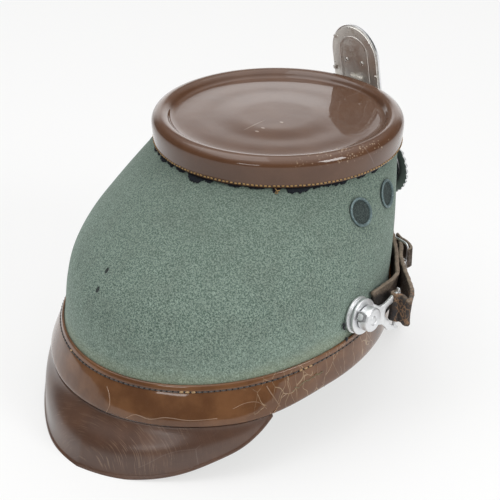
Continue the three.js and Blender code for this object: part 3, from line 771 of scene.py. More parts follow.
def strap_finish(colours):
    made = Finish("strap_leather", Specular_IOR_Level=0.35)
    base = made.blend(
        made.step(made.noise(160, 4, 0.65), 0.34, 0.7), dimmed(colours.strap, 0.5), colours.strap
    )
    dusty = made.step(made.noise(700, 4, 0.7), 0.48, 0.72, 0.0, 0.5)
    base = made.blend(dusty, base, lifted(colours.strap, 0.20))
    cracks = made.cells(330.0, "DISTANCE_TO_EDGE", made.mapped((1.4, 1.4, 0.8)))
    crack = made.times(made.step(cracks, 0.05, 0.015), made.step(made.noise(120, 2), 0.4, 0.6))
    base = made.over(base, (0.018, 0.013, 0.010), crack, 0.8)
    across = made.node("SeparateXYZ", {0: made.uv}).outputs[1]
    edge = made.step(made.maths("FRACT", made.times(across, 2.0)), 0.44, 0.54)
    rubbed = made.times(edge, made.step(made.noise(420, 4, 0.7), 0.30, 0.55, 0.45, 1.0))
    base = made.blend(rubbed, base, colours.strap_edge)
    fuzzy = made.near(on_hat((-90.5, 14.0, -69.5)), (0.008, 0.014, 0.0044), 0.9)
    fuzzy = made.times(fuzzy, made.step(made.noise(520, 4, 0.75), 0.36, 0.60, 0.2, 0.9))
    base = made.blend(fuzzy, base, dimmed(colours.strap_edge, 0.75))
    # Painted shadow: a near-black patch on the strap close to the wall, below its upper edge, where shade
    # falls.
    strap_shadow = made.near(on_hat((-89.0, 22.0, -82.0)), (0.008, 0.014, 0.0100), 0.5)
    base = made.over(base, (0.016, 0.014, 0.013), strap_shadow, 0.85)
    folded = made.near(on_hat((-100.5, 14.0, -80.0)), (0.008, 0.010, 0.012), 0.8)
    base = made.over(base, (0.046, 0.042, 0.040), folded, 0.75)
    veins = made.cells(
        300.0, "DISTANCE_TO_EDGE",
        made.mapped((1.0, 1.0, 0.7), (0.3, 0.2, 0.4), source=made.bent(160.0, 0.005)),
    )
    flaked = made.maths(
        "MAXIMUM", made.step(veins, 0.07, 0.02), made.step(made.noise(190, 4, 0.75), 0.52, 0.60)
    )
    orange = made.times(folded, flaked)
    base = made.over(base, colours.strap_worn, orange, 0.68)
    # A near-black patch darkened over the strap near the lug.
    dark_patch = made.near(on_hat((-96.0, 23.0, -80.0)), (0.0050, 0.0048, 0.008), 0.4)
    base = made.over(base, (0.026, 0.024, 0.025), dark_patch, 0.85)
    made.link(base, "Base Color")
    normal = made.bump(made.noise(900, 4, 0.7), 0.00015, 0.8)
    normal = made.bump(made.maths("SUBTRACT", made.noise(150, 3), crack), 0.0004, 0.6, normal)
    made.link(normal, "Normal")
    made.link(made.step(made.noise(400, 3), 0.3, 0.7, 0.55, 0.85), "Roughness")
    return made.material


def metal_finish(name, tone, rough=(0.44, 0.54), stain=None, dull=0.06):
    made = Finish(name, Metallic=1.0)
    grain = made.noise(700.0, 3, 0.6)
    base = made.blend(made.step(grain, 0.3, 0.75), dimmed(tone, 0.93), tone)
    marks = made.noise(150, 4, 0.7)
    base = made.blend(made.step(marks, 0.55, 0.8, 0.0, dull), base, dimmed(tone, 0.5))
    if stain:
        patch = made.step(made.noise(120, 4, 0.7), 0.54, 0.72, 0.0, 0.45)
        base = made.blend(patch, base, stain)
        spots = made.times(made.step(made.cells(420.0), 0.22, 0.12), made.step(made.noise(160, 2), 0.5, 0.6))
        base = made.over(base, (0.07, 0.05, 0.03), spots, 0.6)
    made.link(base, "Base Color")
    made.link(made.step(marks, 0.3, 0.75, *rough), "Roughness")
    made.link(made.bump(grain, 0.00001, 0.25), "Normal")
    return made.material


def vent_finish(colours):
    made = Finish("vent_paint", Roughness=0.55, Metallic=0.3)
    base = made.blend(made.step(made.noise(500, 4, 0.7), 0.35, 0.7), dimmed(colours.vent, 0.6), colours.vent)
    chips = made.step(made.noise(900, 4, 0.8), 0.58, 0.66, 0.0, 0.8)
    base = made.blend(chips, base, (0.46, 0.55, 0.56))
    made.link(base, "Base Color")
    made.link(made.bump(made.noise(900, 3), 0.0001, 0.6), "Normal")
    return made.material


def gauze_finish(colours):
    made = Finish("wire_cloth", Roughness=0.8, Metallic=0.2, Specular_IOR_Level=0.25)
    dust = made.step(made.noise(900, 4, 0.75), 0.4, 0.75)
    made.link(made.blend(dust, colours.gauze, dimmed(colours.gauze, 2.6)), "Base Color")
    made.link(made.bump(made.noise(2500, 3), 0.0001, 0.6), "Normal")
    return made.material


def floor_finish(colours):
    made = Finish("studio_floor", Roughness=0.95, Specular_IOR_Level=0.0, Emission_Strength=0.635)
    made.shader.inputs["Emission Color"].default_value = (1.0, 1.0, 0.995, 1.0)
    made.link(made.blend(made.noise(3, 2), colours.floor, dimmed(colours.floor, 0.99)), "Base Color")
    return made.material


# Pieces


class SHAKO_OT_felt(bpy.types.Operator):
    """Makes the felt body with its vent holes"""

    bl_idname = "shako.felt"
    bl_label = "Felt body"

    def execute(self, context):
        sizes, colours = context.scene.shako_sizes, context.scene.shako_colours
        wall = sizes.felt_wall / MM
        top, low = -9 / WALL_DROP, BAND_SHARE - 0.004
        rows = 76
        outside = [(mix(top, low, k / rows), 0.0) for k in range(rows + 1)]
        inside = [(share, wall) for share, _ in reversed(outside)]

        def place(turn, spot):
            share, depth = spot
            angle = 360 * turn
            return on_hat(wall_point(share, angle) - wall_normal(max(share, 0.0), angle) * depth)

        bm = wrap([*outside, *inside], 216, place)
        for _, angle in VENTS:
            self.open_vent(bm, in_frame(wall_frame(VENT_LEVEL, angle)))
        face_out(bm)
        piece(bm, "felt_cloth", felt_finish(colours), ["felt_body"])
        return {"FINISHED"}

    @staticmethod
    def open_vent(bm, matrix):
        """Cuts a round hole through both skins and joins its rims."""
        back = matrix.inverted()
        radius = VENT_HOLE

        def away(point):
            local = back @ point
            return math.hypot(local.x, local.y) if abs(local.z) < 8 else 1e3

        doomed = [f for f in bm.faces if away(f.calc_center_median()) < radius]
        bmesh.ops.delete(bm, geom=doomed, context="FACES")
        rim = [e for e in bm.edges if e.is_boundary and away(e.verts[0].co) < 2 * radius]
        for vert in {v for e in rim for v in e.verts}:
            local = back @ vert.co
            size = radius / math.hypot(local.x, local.y)
            vert.co = matrix @ Vector((local.x * size, local.y * size, local.z))
        bmesh.ops.bridge_loops(bm, edges=rim)


class SHAKO_OT_underlay(bpy.types.Operator):
    """Makes the ragged black underlay that shows below the crown's edge"""

    bl_idname = "shako.underlay"
    bl_label = "Underlay"

    # Torn places as (angle, half width in degrees, depth in millimetres).
    torn = [
        (52, 3, 1.3), (45, 2.5, 1.0), (38, 2.5, 1.6), (32, 2, 0.8), (25, 3, 1.4), (18, 2.5, 0.8),
        (10, 3, 0.9), (-0.5, 4.2, 2.3), (-7.5, 1.8, 1.2), (-39, 1.6, 1.5), (-49, 5.0, 2.3), (-57, 1.8, 1.0),
        (-61.5, 1.8, 1.0), (-66, 1.8, 1.2), (-70, 1.6, 1.4), (-20, 3, 0.7), (-30, 3, 0.7), (-80, 2.5, 0.9),
        (-89, 2, 1.3), (-97, 3, 0.8), (62, 3, 1.0), (83, 3, 0.8), (110, 5, 1.4), (140, 4, 1.0),
        (200, 5, 1.6), (228, 4, 0.8),
    ]

    @staticmethod
    def uneven(angle, size, seed):
        """A noise round the crown about 0.5, finer for a larger size."""
        turn = math.radians(angle)
        return 0.5 + 0.5 * noise.noise(Vector((math.cos(turn) * size, math.sin(turn) * size, seed)))

    def drop(self, angle, least):
        """How far the underlay hangs below the crown, in millimetres."""
        ragged, teeth = self.uneven(angle, 34, 2), self.uneven(angle, 90, 7)
        hang = least + 0.45 * ragged * teeth
        for middle, half, depth in self.torn:
            away = abs((angle - middle + 180) % 360 - 180) / half
            if away < 1.4:
                hang += depth * (1 - smooth(0.7, 1.3, away)) * (0.45 + 0.75 * ragged + 0.35 * (teeth - 0.5))
        return hang

    def execute(self, context):
        sizes, colours = context.scene.shako_sizes, context.scene.shako_colours
        least = sizes.underlay_drop / MM
        profile = [(0.0, 0.15), (0.0, 1.2), (0.35, 1.25), (0.8, 1.1), (1.0, 0.7), (1.0, 0.2), (0.5, 0.05)]

        def place(turn, spot):
            angle = 360 * turn
            down, out = spot
            hang = self.drop(angle, least)
            wave = 0.25 * noise.noise(Vector((angle * 0.9, down * 2, 0)))
            share = (hang * down + 0.02) / WALL_DROP
            return on_hat(wall_point(share, angle, out + wave * down))

        bm = wrap(profile, 900, place)
        piece(bm, "crown_underlay", cloth_finish("underlay_felt", colours.underlay))
        return {"FINISHED"}


class SHAKO_OT_crown(bpy.types.Operator):
    """Makes the patent leather crown and its seam"""

    bl_idname = "shako.crown"
    bl_label = "Crown"

    @staticmethod
    def profile():
        centre = CROWN_RADIUS - CROWN_ROLL
        points = [(r, mix(1.98, 1.6, smooth(19, 38, r))) for r in (0, 8, 14, *range(17, 43, 1))]
        points += [(45, 1.6), (49, 1.52), (53, 1.45), (56.5, 1.44), (58.3, 1.52), (59.4, 1.75), (60.1, 2.1)]
        for degrees in range(150, -1, -8):
            turn = math.radians(degrees)
            points.append((centre + CROWN_ROLL * math.cos(turn), CROWN_ROLL * math.sin(turn)))
        points += [(70.95, -1.5), (70.75, -4), (70.45, -7), (70.25, -9.2), (CROWN_EDGE, -10.5)]
        points += [
            (CROWN_EDGE - 0.2, -10.9), (CROWN_EDGE - 0.6, -11), (68.5, -11), (68.15, -10.8), (68.1, -10)
        ]
        points += [(68.1, -4), (67.6, -1.6), (66, -0.9), (60, -0.85), (30, -0.8), (0, -0.8)]
        return points

    def execute(self, context):
        sizes, colours = context.scene.shako_sizes, context.scene.shako_colours
        finish = patent_finish(
            "crown_patent", colours.crown, colours.crown_deep, peel=0.22,
            worn=(on_hat((-60, 20, 3.5)), (0.029, 0.009, 0.006), -1.91),
            marks=self.marks(), gloss=0.05,
        )
        bm = spun(self.profile(), 256, in_frame(Matrix()))
        piece(bm, "crown_cap", finish, ["crown"])
        self.seam(sizes, colours)
        return {"FINISHED"}

    @staticmethod
    def marks():
        """Small blisters and a scratch on the top, as (place, reach, turn)."""
        spots = [((x, y), 0.0012, 0.0008, 0.0) for x, y in BLISTERS]
        spots.append((SCRATCH, 0.0090, 0.00022, SCRATCH_TURN))
        return [(on_hat((*spot, 1.7)), (wide, deep, 0.003), turn) for spot, wide, deep, turn in spots]

    @staticmethod
    def seam(sizes, colours):
        random.seed(4)
        rise = sizes.crown_stitch_rise / MM
        radius = CROWN_EDGE + 0.12
        count = round(2 * math.pi * radius / (sizes.crown_stitch / MM))

        def spot(place, lift=0.0, tilt=0.0):
            turn = 2 * math.pi * place / count
            sine, cosine = math.sin(turn), math.cos(turn)
            point = on_hat((radius * sine, radius * cosine, -CROWN_SIDE + rise + lift))
            return point, Vector((cosine, -sine, tilt)), Vector((sine, cosine, 0))

        # Painted shade: a near-black bead between each pair of stitches stands for the dark inside the needle
        # hole.
        holes = [spot(k + 0.5) for k in range(count)]
        places = []
        for k in range(count):
            place = k + random.uniform(-0.08, 0.08)
            places.append(spot(place, random.uniform(-0.12, 0.12), random.uniform(-0.12, 0.12)))
        dark = thread_finish("seam_hole", (0.012, 0.008, 0.006))
        piece(
            stitches(holes, 0.13 * sizes.crown_stitch, sizes.thread * 0.42), "crown_seam_holes", dark,
        )
        bm = stitches(places, 0.37 * sizes.crown_stitch, sizes.thread / 2)
        golden = thread_finish("seam_thread", colours.thread)
        piece(bm, "crown_seam", golden)
        knot = wall_point(0.008, -39, 2.3)
        loop = [
            knot + Vector(offset)
            for offset in (
                (-1.8, -0.4, 0.6), (-0.4, 0.6, 0.1), (0.9, -0.2, -0.9), (0.2, 0.4, -1.5), (-1.0, 0.2, -0.8),
                (-0.2, 0.3, 0.4), (1.9, -0.9, 0.5),
            )
        ]
        piece(wire(Route(loop), 0.24, in_frame(Matrix()), 40), "seam_knot", golden)


class SHAKO_OT_band(bpy.types.Operator):
    """Makes the head band, its seam and its scars"""

    bl_idname = "shako.band"
    bl_label = "Head band"

    # The band's section as (share of its height, distance out in millimetres).
    section = [
        (0.0, 0.5), (0.004, 1.1), (0.012, 1.4), (0.028, 1.55), (0.06, 1.65), (0.11, 1.75), (0.135, 1.7),
        (0.148, 1.5), (0.162, 1.45), (0.180, 1.6), (0.21, 1.8), (0.27, 2.05), (0.37, 2.4), (0.5, 2.8),
        (0.62, 3.12), (0.74, 3.38), (0.84, 3.48), (0.91, 3.42), (0.955, 3.2), (0.985, 2.8), (0.995, 2.2),
        (1.0, 1.2), (0.995, 0.35), (0.8, 0.3), (0.5, 0.3), (0.2, 0.3), (0.03, 0.3),
    ]

    def execute(self, context):
        sizes, colours = context.scene.shako_sizes, context.scene.shako_colours
        finish = patent_finish(
            "band_patent", colours.band, colours.band_deep, peel=0.95,
            crazed=(on_hat((-78, 60, -104)), (0.034, 0.050, 0.020)),
        )

        def place(turn, spot):
            share, out = spot
            angle = 360 * turn
            ripple = 0.16 * noise.noise(Vector((angle * 0.12, share * 1.5, 3)))
            return on_hat(
                wall_point(mix(1, BAND_SHARE, share), angle, out + ripple * share * (1 - share) * 3)
            )

        bm = wrap(self.section, 288, place)
        piece(bm, "band_leather_strip", finish, ["head_band"])
        self.seam(sizes, colours)
        return {"FINISHED"}

    @staticmethod
    def seam(sizes, colours):
        random.seed(11)
        level = mix(1, BAND_SHARE, 0.155)
        angle = 0.0
        dark, bright, holes = [], [], []
        while angle < 360:
            here = wall_point(level, angle, 1.6)
            ahead = wall_point(level, angle + 1, 1.6) - here
            turn = sizes.band_stitch / MM / ahead.length
            outward = wall_normal(1.1, angle)
            along = ahead.normalized() + Vector((0, 0, random.uniform(-0.1, 0.1)))
            spot = (on_hat(here), along, outward)
            off = (angle + 180) % 360 - 180
            pale = -34 < off < -29 or -72 < off < -68 or random.random() < 0.02
            (bright if pale else dark).append(spot)
            between = wall_point(level, angle + turn / 2, 1.65)
            holes.append((on_hat(between), ahead.normalized(), outward))
            angle += turn
        # Painted shade: a near-black bead between each pair of stitches stands for the dark inside the needle
        # hole.
        black = thread_finish("band_hole", (0.010, 0.007, 0.006))
        piece(
            stitches(holes, 0.17 * sizes.band_stitch, sizes.thread * 0.62), "band_seam_holes", black,
        )
        worn = thread_finish("band_thread", colours.thread_dark)
        golden = thread_finish("band_thread_pale", lifted(colours.thread, 0.1))
        piece(stitches(dark, 0.34 * sizes.band_stitch, sizes.thread * 0.5), "band_seam", worn)
        piece(
            stitches(bright, 0.38 * sizes.band_stitch, sizes.thread * 0.65), "band_seam_pale", golden,
        )
        places = []
        for k in range(14):
            share = k / 13
            angle = mix(-65, -76, share)
            height = mix(0.58, 0.44, share) + random.uniform(-0.05, 0.05)
            level = mix(1, BAND_SHARE, height)
            here = wall_point(level, angle, 2.9)
            along = wall_point(level, angle - 1, 2.9) - here
            along = along.normalized() + Vector((0, 0, random.uniform(-0.8, 0.8)))
            places.append((on_hat(here), along, wall_normal(1.1, angle)))
        tan = thread_finish("join_thread", (0.24, 0.19, 0.09))
        scars = []
        for spots, width in SCARS:
            points = []
            for height, angle in spots:
                out = mix(1.95, 3.7, smooth(0.05, 1.0, height))
                points.append(wall_point(mix(1, BAND_SHARE, height), angle, out))
            scars.append(wire(Route(points), width, in_frame(Matrix()), 10 * len(spots)))
        raised = patent_finish("scar_leather", (0.34, 0.21, 0.13), (0.24, 0.14, 0.08))
        piece(joined(scars), "band_scars", raised)
        piece(
            stitches(places, 0.36 * sizes.band_stitch, sizes.thread * 0.3), "band_join_seam", tan,
        )


class SHAKO_OT_peaks(bpy.types.Operator):
    """Makes the rear and front peaks with their beaded edges"""

    bl_idname = "shako.peaks"
    bl_label = "Peaks"

    def execute(self, context):
        sizes, colours = context.scene.shako_sizes, context.scene.shako_colours
        finish = patent_finish(
            "peak_patent", colours.peak, colours.peak_deep, peel=0.30, hatch=0.34, haze=0.28, gloss=0.28,
        )
        self.peak("rear_peak_leather", "rear_peak", 0, REAR_PEAK, REAR_OUT, REAR_DOWN, sizes, finish)
        self.peak("front_peak_leather", "front_peak", 180, FRONT_PEAK, FRONT_OUT, FRONT_DOWN, sizes, finish)
        return {"FINISHED"}

    @staticmethod
    def peak(name, node, middle, form, outs, downs, sizes, finish):
        half_angle, reach, drop = form
        start = BAND_SHARE + CLEARANCE / WALL_DROP
        bead = sizes.peak_bead / MM

        def outward(angle):
            away = wall_point(start, angle, 1) - wall_point(start, angle)
            return Vector((away.x, away.y, 0)).normalized()

        def surface(i, turn):
            angle = middle + turn * half_angle
            off = abs(turn)
            out = rounded(outs, off) * reach
            down = rounded(downs, off) * drop
            point = wall_point(start, angle, CLEARANCE + 2.0)
            arch = (1 - math.cos(2 * math.pi * i)) * PEAK_ARCH * (1 - off**4)
            point += outward(angle) * (out * i + arch * (down / drop))
            point.z += -down * i + arch * out / reach / 2
            return point, math.hypot(out, down)

        def place(turn, spot):
            i, depth = spot
            off = 2 * turn - 1
            point, size = surface(i, off)
            low, high = max(off - 0.02, -1), min(off + 0.02, 1)
            along = surface(i, high)[0] - surface(i, low)[0]
            down = surface(min(i + 0.02, 1), off)[0] - surface(max(i - 0.02, 0), off)[0]
            normal = down.cross(along).normalized()
            if normal.dot(outward(middle + off * half_angle)) < 0:
                normal.negate()
            from_edge = (1 - i) * size
            proud = 0.45 * (1 - smooth(0.55 * bead, bead, from_edge)) * smooth(0.0, 6.0, size)
            point = point + normal * (proud * (1 if depth < 0.5 else -0.6) - depth * PEAK_LEATHER)
            place_here = on_hat(point)
            place_here.z = max(place_here.z, 0.00002)
            return place_here

        ups = [k / 26 * 0.88 for k in range(27)] + [0.905, 0.925, 0.94, 0.955, 0.97, 0.985]
        section = [(i, 0.0) for i in ups] + [(0.996, 0.08), (1.0, 0.3), (1.0, 0.7), (0.996, 0.92)]
        section += [(i, 1.0) for i in reversed(ups)]
        bm = wrap(section, 150, place, closed=False)
        piece(bm, name, finish, [node])


class SHAKO_OT_vents(bpy.types.Operator):
    """Makes the four vents with their wire cloth"""

    bl_idname = "shako.vents"
    bl_label = "Vents"

    def execute(self, context):
        sizes, colours = context.scene.shako_sizes, context.scene.shako_colours
        paint, cloth = vent_finish(colours), gauze_finish(colours)
        lip = sizes.vent_lip / MM
        profile = [
            (6.75, -1.5), (7.2, -1.5), (7.2, 0.2), (7.8, 0.2), (8.0, 0.35), (7.95, 0.6),
            (7.7, 0.2 + 0.8 * lip), (7.4, 0.2 + lip), (7.15, 0.2 + lip), (6.9, 0.1 + lip), (6.7, 0.45),
            (6.7, -0.2), (6.75, -1.5),
        ]
        for name, angle in VENTS:
            matrix = in_frame(wall_frame(VENT_LEVEL, angle))
            bm = spun(profile, 72, matrix)
            back = matrix.inverted()
            for vert in bm.verts:
                local = back @ vert.co
                radius = math.hypot(local.x, local.y)
                turn = math.atan2(local.y, local.x)
                if radius < 6.8 and local.z > -0.3:
                    uneven = noise.noise(Vector((local.x, local.y, angle)))
                    size = 1 - 0.055 * (0.5 + 0.5 * math.cos(24 * turn)) - 0.02 * uneven
                    vert.co = matrix @ Vector((local.x * size, local.y * size, local.z))
            piece(bm, f"vent_rim_{name}", paint, [f"vent_ring_{name}"])
            piece(self.cloth(matrix), f"vent_cloth_{name}", cloth, [f"vent_gauze_{name}"])
        return {"FINISHED"}

    @staticmethod
    def cloth(matrix):
        """Woven wires, each a thin strip that goes over and under the others."""
        radius, pitch, rise = VENT_CLOTH, 0.62, 0.12
        parts = []
        count = int(radius / pitch)
        for way in (0, 1):
            for k in range(-count, count + 1):
                offset = k * pitch
                half = math.sqrt(max(radius**2 - offset**2, 0.01))
                steps = max(int(2 * half / pitch), 3)
                points = []
                for i in range(steps + 1):
                    run = -half + 2 * half * i / steps
                    lift = rise * math.cos(math.pi * (run / pitch + k + way))
                    points.append(Vector((run, offset, lift - 0.3) if way else (offset, run, lift - 0.3)))
                parts.append(wire(Route(points, 1), 0.19, matrix, steps))
        return joined(parts)


class SHAKO_OT_posts(bpy.types.Operator):
    """Makes the side posts with their lugs"""

    bl_idname = "shako.posts"
    bl_label = "Posts and lugs"

    def execute(self, context):
        metal = metal_finish("post_aluminium", context.scene.shako_colours.aluminium)
        # Painted shadow: aluminium darkened to 0.4 for the dark gap round the latch.
        latch_shadow_metal = metal_finish("latch_aluminium", dimmed(context.scene.shako_colours.aluminium, 0.4))
        base = [
            (0, 0.4), (9.8, 0.4), (10.15, 0.6), (10.3, 1.0), (10.3, 1.7), (10.1, 2.0), (9.7, 2.1),
            (9.55, 2.2), (9.6, 2.6), (9.55, 3.0), (9.2, 3.15), (8.0, 3.1), (7.8, 3.4), (0, 3.5),
        ]
        cap = [
            (0, 3.9), (4, 3.9), (4, 5.9), (6.2, 5.95), (6.25, 6.3), (6.6, 6.45), (6.75, 6.8), (6.75, 10.9),
            (6.6, 11.5), (6.2, 11.9), (5.6, 12.05), (3.0, 12.1), (2.8, 11.95), (2.65, 11.7), (2.3, 11.65),
            (2.1, 11.8), (1.7, 12.0), (0, 12.1),
        ]
        for name, side in (("right", -1), ("left", 1)):
            matrix = in_frame(wall_frame(POST_LEVEL, side * POST_ANGLE))
            piece(spun(base, 72, matrix), f"post_disc_{name}", metal, [f"post_base_{name}"], 35)
            parts = [spun(cap, 64, matrix), self.latch(matrix, 0.66, 2.3)]
            piece(joined(parts), f"post_head_{name}", metal, [f"post_cap_{name}"], 35)
            # Painted shadow: a larger, lower copy of the latch in the darkened aluminium shows as a dark rim
            # round the tongue.
            piece(self.latch(matrix, 1.0, 1.9), f"post_latch_{name}", latch_shadow_metal, (), 35)
            swung = in_frame(wall_frame(POST_LEVEL, side * POST_ANGLE, LUG_SWING))
            piece(self.lug(swung), f"lug_{name}", metal, [f"strap_lug_{name}"], 40)
        return {"FINISHED"}

    @staticmethod
    def latch(matrix, size, rise):
        """The small raised tongue on the side of the cap; a larger, lower outline of it also serves as
        painted shadow round it.
        """
        outline = [
            (x * size, y * size)
            for x, y in ((-2.3, -1.9), (0.6, -2.9), (2.5, -2.0), (2.5, 2.0), (0.6, 2.9), (-2.3, 1.9))
        ]
        turn = math.radians(148)
        place = (
            Matrix.Rotation(turn, 4, "Z")
            @ Matrix.Translation((6.2, 0, 8.3))
            @ Matrix.Rotation(math.pi / 2, 4, "Y")
        )
        return cut_out(outline, rise, 0.2, matrix @ place)

    @staticmethod
    def lug(matrix):
        ring = spun(
            [
                (4.3, 3.8), (9.5, 3.8), (9.8, 3.9), (10.0, 4.2), (10.0, 5.3), (9.85, 5.55), (9.5, 5.65),
                (4.6, 5.65), (4.3, 5.4), (4.3, 3.8),
            ],
            72, matrix,
        )
        outline = [
            (7.7, 6.2), (7.7, -7.4), (10, -7.6), (12.2, -7.9), (14, -7.5), (15.9, -7.8), (18.1, -9.5),
            (19.7, -11.5), (22.3, -11.9), (24.6, -11.9), (26.4, -11.6), (26.6, -10.2), (24.2, -9.3),
            (22.0, -8.6), (20.9, -7.4), (20.5, -5.8), (18.9, -5.1), (17.7, -3.6), (17.1, -1.2), (17.5, 1.0),
            (19.2, 2.9), (21.6, 4.5), (23.6, 5.8), (26.4, 5.4), (27.4, 5.6), (26.4, 9.0), (25.2, 12.1),
            (24.1, 12.3), (23.9, 10.0), (22.3, 9.4), (20.5, 7.9), (18.2, 5.7), (15.9, 3.8), (13.4, 3.1),
            (10.6, 4.3),
        ]
        arms = cut_out(outline, LUG_METAL, 0.35, matrix @ lug_bend())
        bar = Route([Vector((LUG_AHEAD, y, LUG_METAL / 2)) for y in (-10.6, -4, 4, 9.6)], 4)
        return joined([ring, arms, wire(bar, LUG_BAR / 2 * 0.97, matrix @ lug_bend(), 8)])


class SHAKO_OT_strap(bpy.types.Operator):
    """Makes the chin strap and its buckle"""

    bl_idname = "shako.strap"
    bl_label = "Chin strap"

    def execute(self, context):
        sizes, colours = context.scene.shako_sizes, context.scene.shako_colours
        leather = strap_finish(colours)
        edge = sizes.strap_edge / MM
        self.ribbon("long_strap_leather", "strap_long", 1, LONG_STRAP, 420, edge, leather)
        self.ribbon("short_strap_leather", "strap_short", -1, SHORT_STRAP, 160, edge, leather)
        self.buckle(sizes, metal_finish("buckle_aluminium", colours.aluminium, (0.3, 0.5)))
        self.tail(leather)
        self.threads(colours)
        return {"FINISHED"}

    @staticmethod
    def ribbon(name, node, side, rows, steps, edge, leather):
        turn = LUG_BAR / 2 + CLEARANCE + STRAP_LEATHER / 2
        matrix = wall_frame(POST_LEVEL - LUG_RAISE, side * POST_ANGLE, LUG_SWING) @ lug_bend()
        fold = [
            matrix @ Vector((LUG_AHEAD + ahead * turn, 0, LUG_METAL / 2 + out * turn))
            for ahead, out in FOLD
        ]
        way = [wall_point(level, angle, out + STRAP_LEATHER / 2) for angle, level, out, _ in rows]
        route = Route([*fold, *way])
        leans = [(0.0, 0.0), *((route.travel[(len(fold) + k) * 14], row[3]) for k, row in enumerate(rows))]
        bar = Vector(matrix.col[1][:3]).normalized()
        half, thick = STRAP_WIDTH / 2, STRAP_LEATHER / 2
        section = [
            (half - edge, thick), (half * 0.5, thick * 0.96), (0, thick * 0.93),
            (-half * 0.5, thick * 0.96), (-half + edge, thick), (-half + 0.25 * edge, thick * 0.75),
            (-half, 0), (-half + 0.25 * edge, -thick * 0.75), (-half + edge, -thick), (-half * 0.5, -thick),
            (0, -thick), (half * 0.5, -thick), (half - edge, -thick), (half - 0.25 * edge, -thick * 0.75),
            (half, 0), (half - 0.25 * edge, thick * 0.75),
        ]
        fine = 2.2 * STRAP_WIDTH

        def place(share, spot):
            bend = 0.45
            if share < bend:
                distance = fine * share / bend
            else:
                distance = mix(fine, route.length, (share - bend) / (1 - bend))
            wide, out = spot
            along = route.along(distance)
            blend = smooth(0.5 * STRAP_WIDTH, 1.6 * STRAP_WIDTH, distance)
            outward = Vector((0, 0, side)).cross(along)
            across = bar.lerp(Vector((0, 0, 1)) + outward * eased(leans, distance), blend)
            across = (across - along * across.dot(along)).normalized()
            through = across.cross(along)
            worn = noise.noise(Vector((distance * 0.35, wide * 0.2, side * 9))) * 0.3
            nibble = 0.35 * noise.noise(Vector((distance * 0.5, 3, side))) * (1 if wide > 0 else -1)
            swollen = noise.noise(Vector((distance * 0.9, wide, 5)))
            out *= 1.0 + 0.25 * smooth(half - 2.5, half, abs(wide)) + 0.2 * swollen
            return on_hat(route.at(distance) + across * (wide + nibble) + through * (out + worn))

        piece(wrap(section, steps, place, closed=False), name, leather, [node])

    @staticmethod
    def tail(leather):
        """The strap's end, which lies over the buckle."""
        route = Route([Vector((x, y, TAIL_LEVEL)) for x, y in STRAP_TAIL])
        half = STRAP_WIDTH / 2 - 1.9
        section = [
            (half - 0.5, 0.9), (0, 0.9), (-half + 0.5, 0.9), (-half, 0.4), (-half, -0.4), (-half + 0.5, -0.9),
            (0, -0.9), (half - 0.5, -0.9), (half, -0.4), (half, 0.4),
        ]

        def place(share, spot):
            distance = share * route.length
            outward = route.along(distance).cross(Vector((0, 0, 1)))
            return on_hat(route.at(distance) + Vector((0, 0, spot[0])) + outward * spot[1])

        piece(wrap(section, 60, place, closed=False), "strap_tail", leather)

    @staticmethod
    def buckle(sizes, metal):
        """The buckle's frame, set across the strap."""
        facing = Matrix(((-0.9597, 0, 0.281), (0.281, 0, 0.9597), (0, 1, 0))).to_4x4()
        matrix = in_frame(Matrix.Translation((-65.3, -33.4, -79.5)) @ facing)
        radius = sizes.buckle_wire / MM / 2
        x, y, r = 6.5 - radius, 11 - radius, 2.2
        corners = []
        for cx, cy, start in (
            (x - r, y - r, 0), (-x + r, y - r, 90), (-x + r, -y + r, 180), (x - r, -y + r, 270)
        ):
            for k in range(6):
                turn = math.radians(start + 18 * k)
                corners.append(Vector((cx + r * math.cos(turn), cy + r * math.sin(turn), 0)))
        corners.append(corners[0].copy())
        parts = [wire(Route(corners, 3), radius, matrix, 80, True, 0.8)]
        bar = [Vector((0, -y, 0)), Vector((0, 0, 0.1)), Vector((0, y, 0))]
        parts.append(wire(Route(bar, 6), radius * 0.9, matrix, 12))
        pin = [Vector((0, 0.3, 0.2)), Vector((2.5, 0.3, 1.0)), Vector((5, 0.2, 1.2)), Vector((6.6, 0.1, 0.7))]
        parts.append(wire(Route(pin, 6), radius * 0.75, matrix, 18))
        piece(joined(parts), "buckle_frame", metal, ["strap_buckle"])

    @staticmethod
    def threads(colours):
        """Loose black threads behind the post and at its foot."""
        black = thread_finish("loose_thread", colours.underlay)
        matrix = wall_frame(POST_LEVEL, -POST_ANGLE)
        sprigs = [
            [(-11.9, 0.6, 0.5), (-11.5, -0.6, 1.0), (-12.1, -1.8, 0.7), (-11.6, -3.2, 1.0)],
            [(13.6, -0.2, 0.5), (14.3, 1.2, 1.3), (14.0, 2.6, 1.0), (14.8, 3.6, 1.4)],
            [(-9.3, -9.6, 0.5), (-9.9, -10.6, 0.9), (-10.9, -11.2, 0.7)],
        ]
        parts = [
            wire(Route([Vector(p) for p in points]), 0.65, in_frame(matrix), 18) for points in sprigs
        ]
        piece(joined(parts), "loose_threads", black)


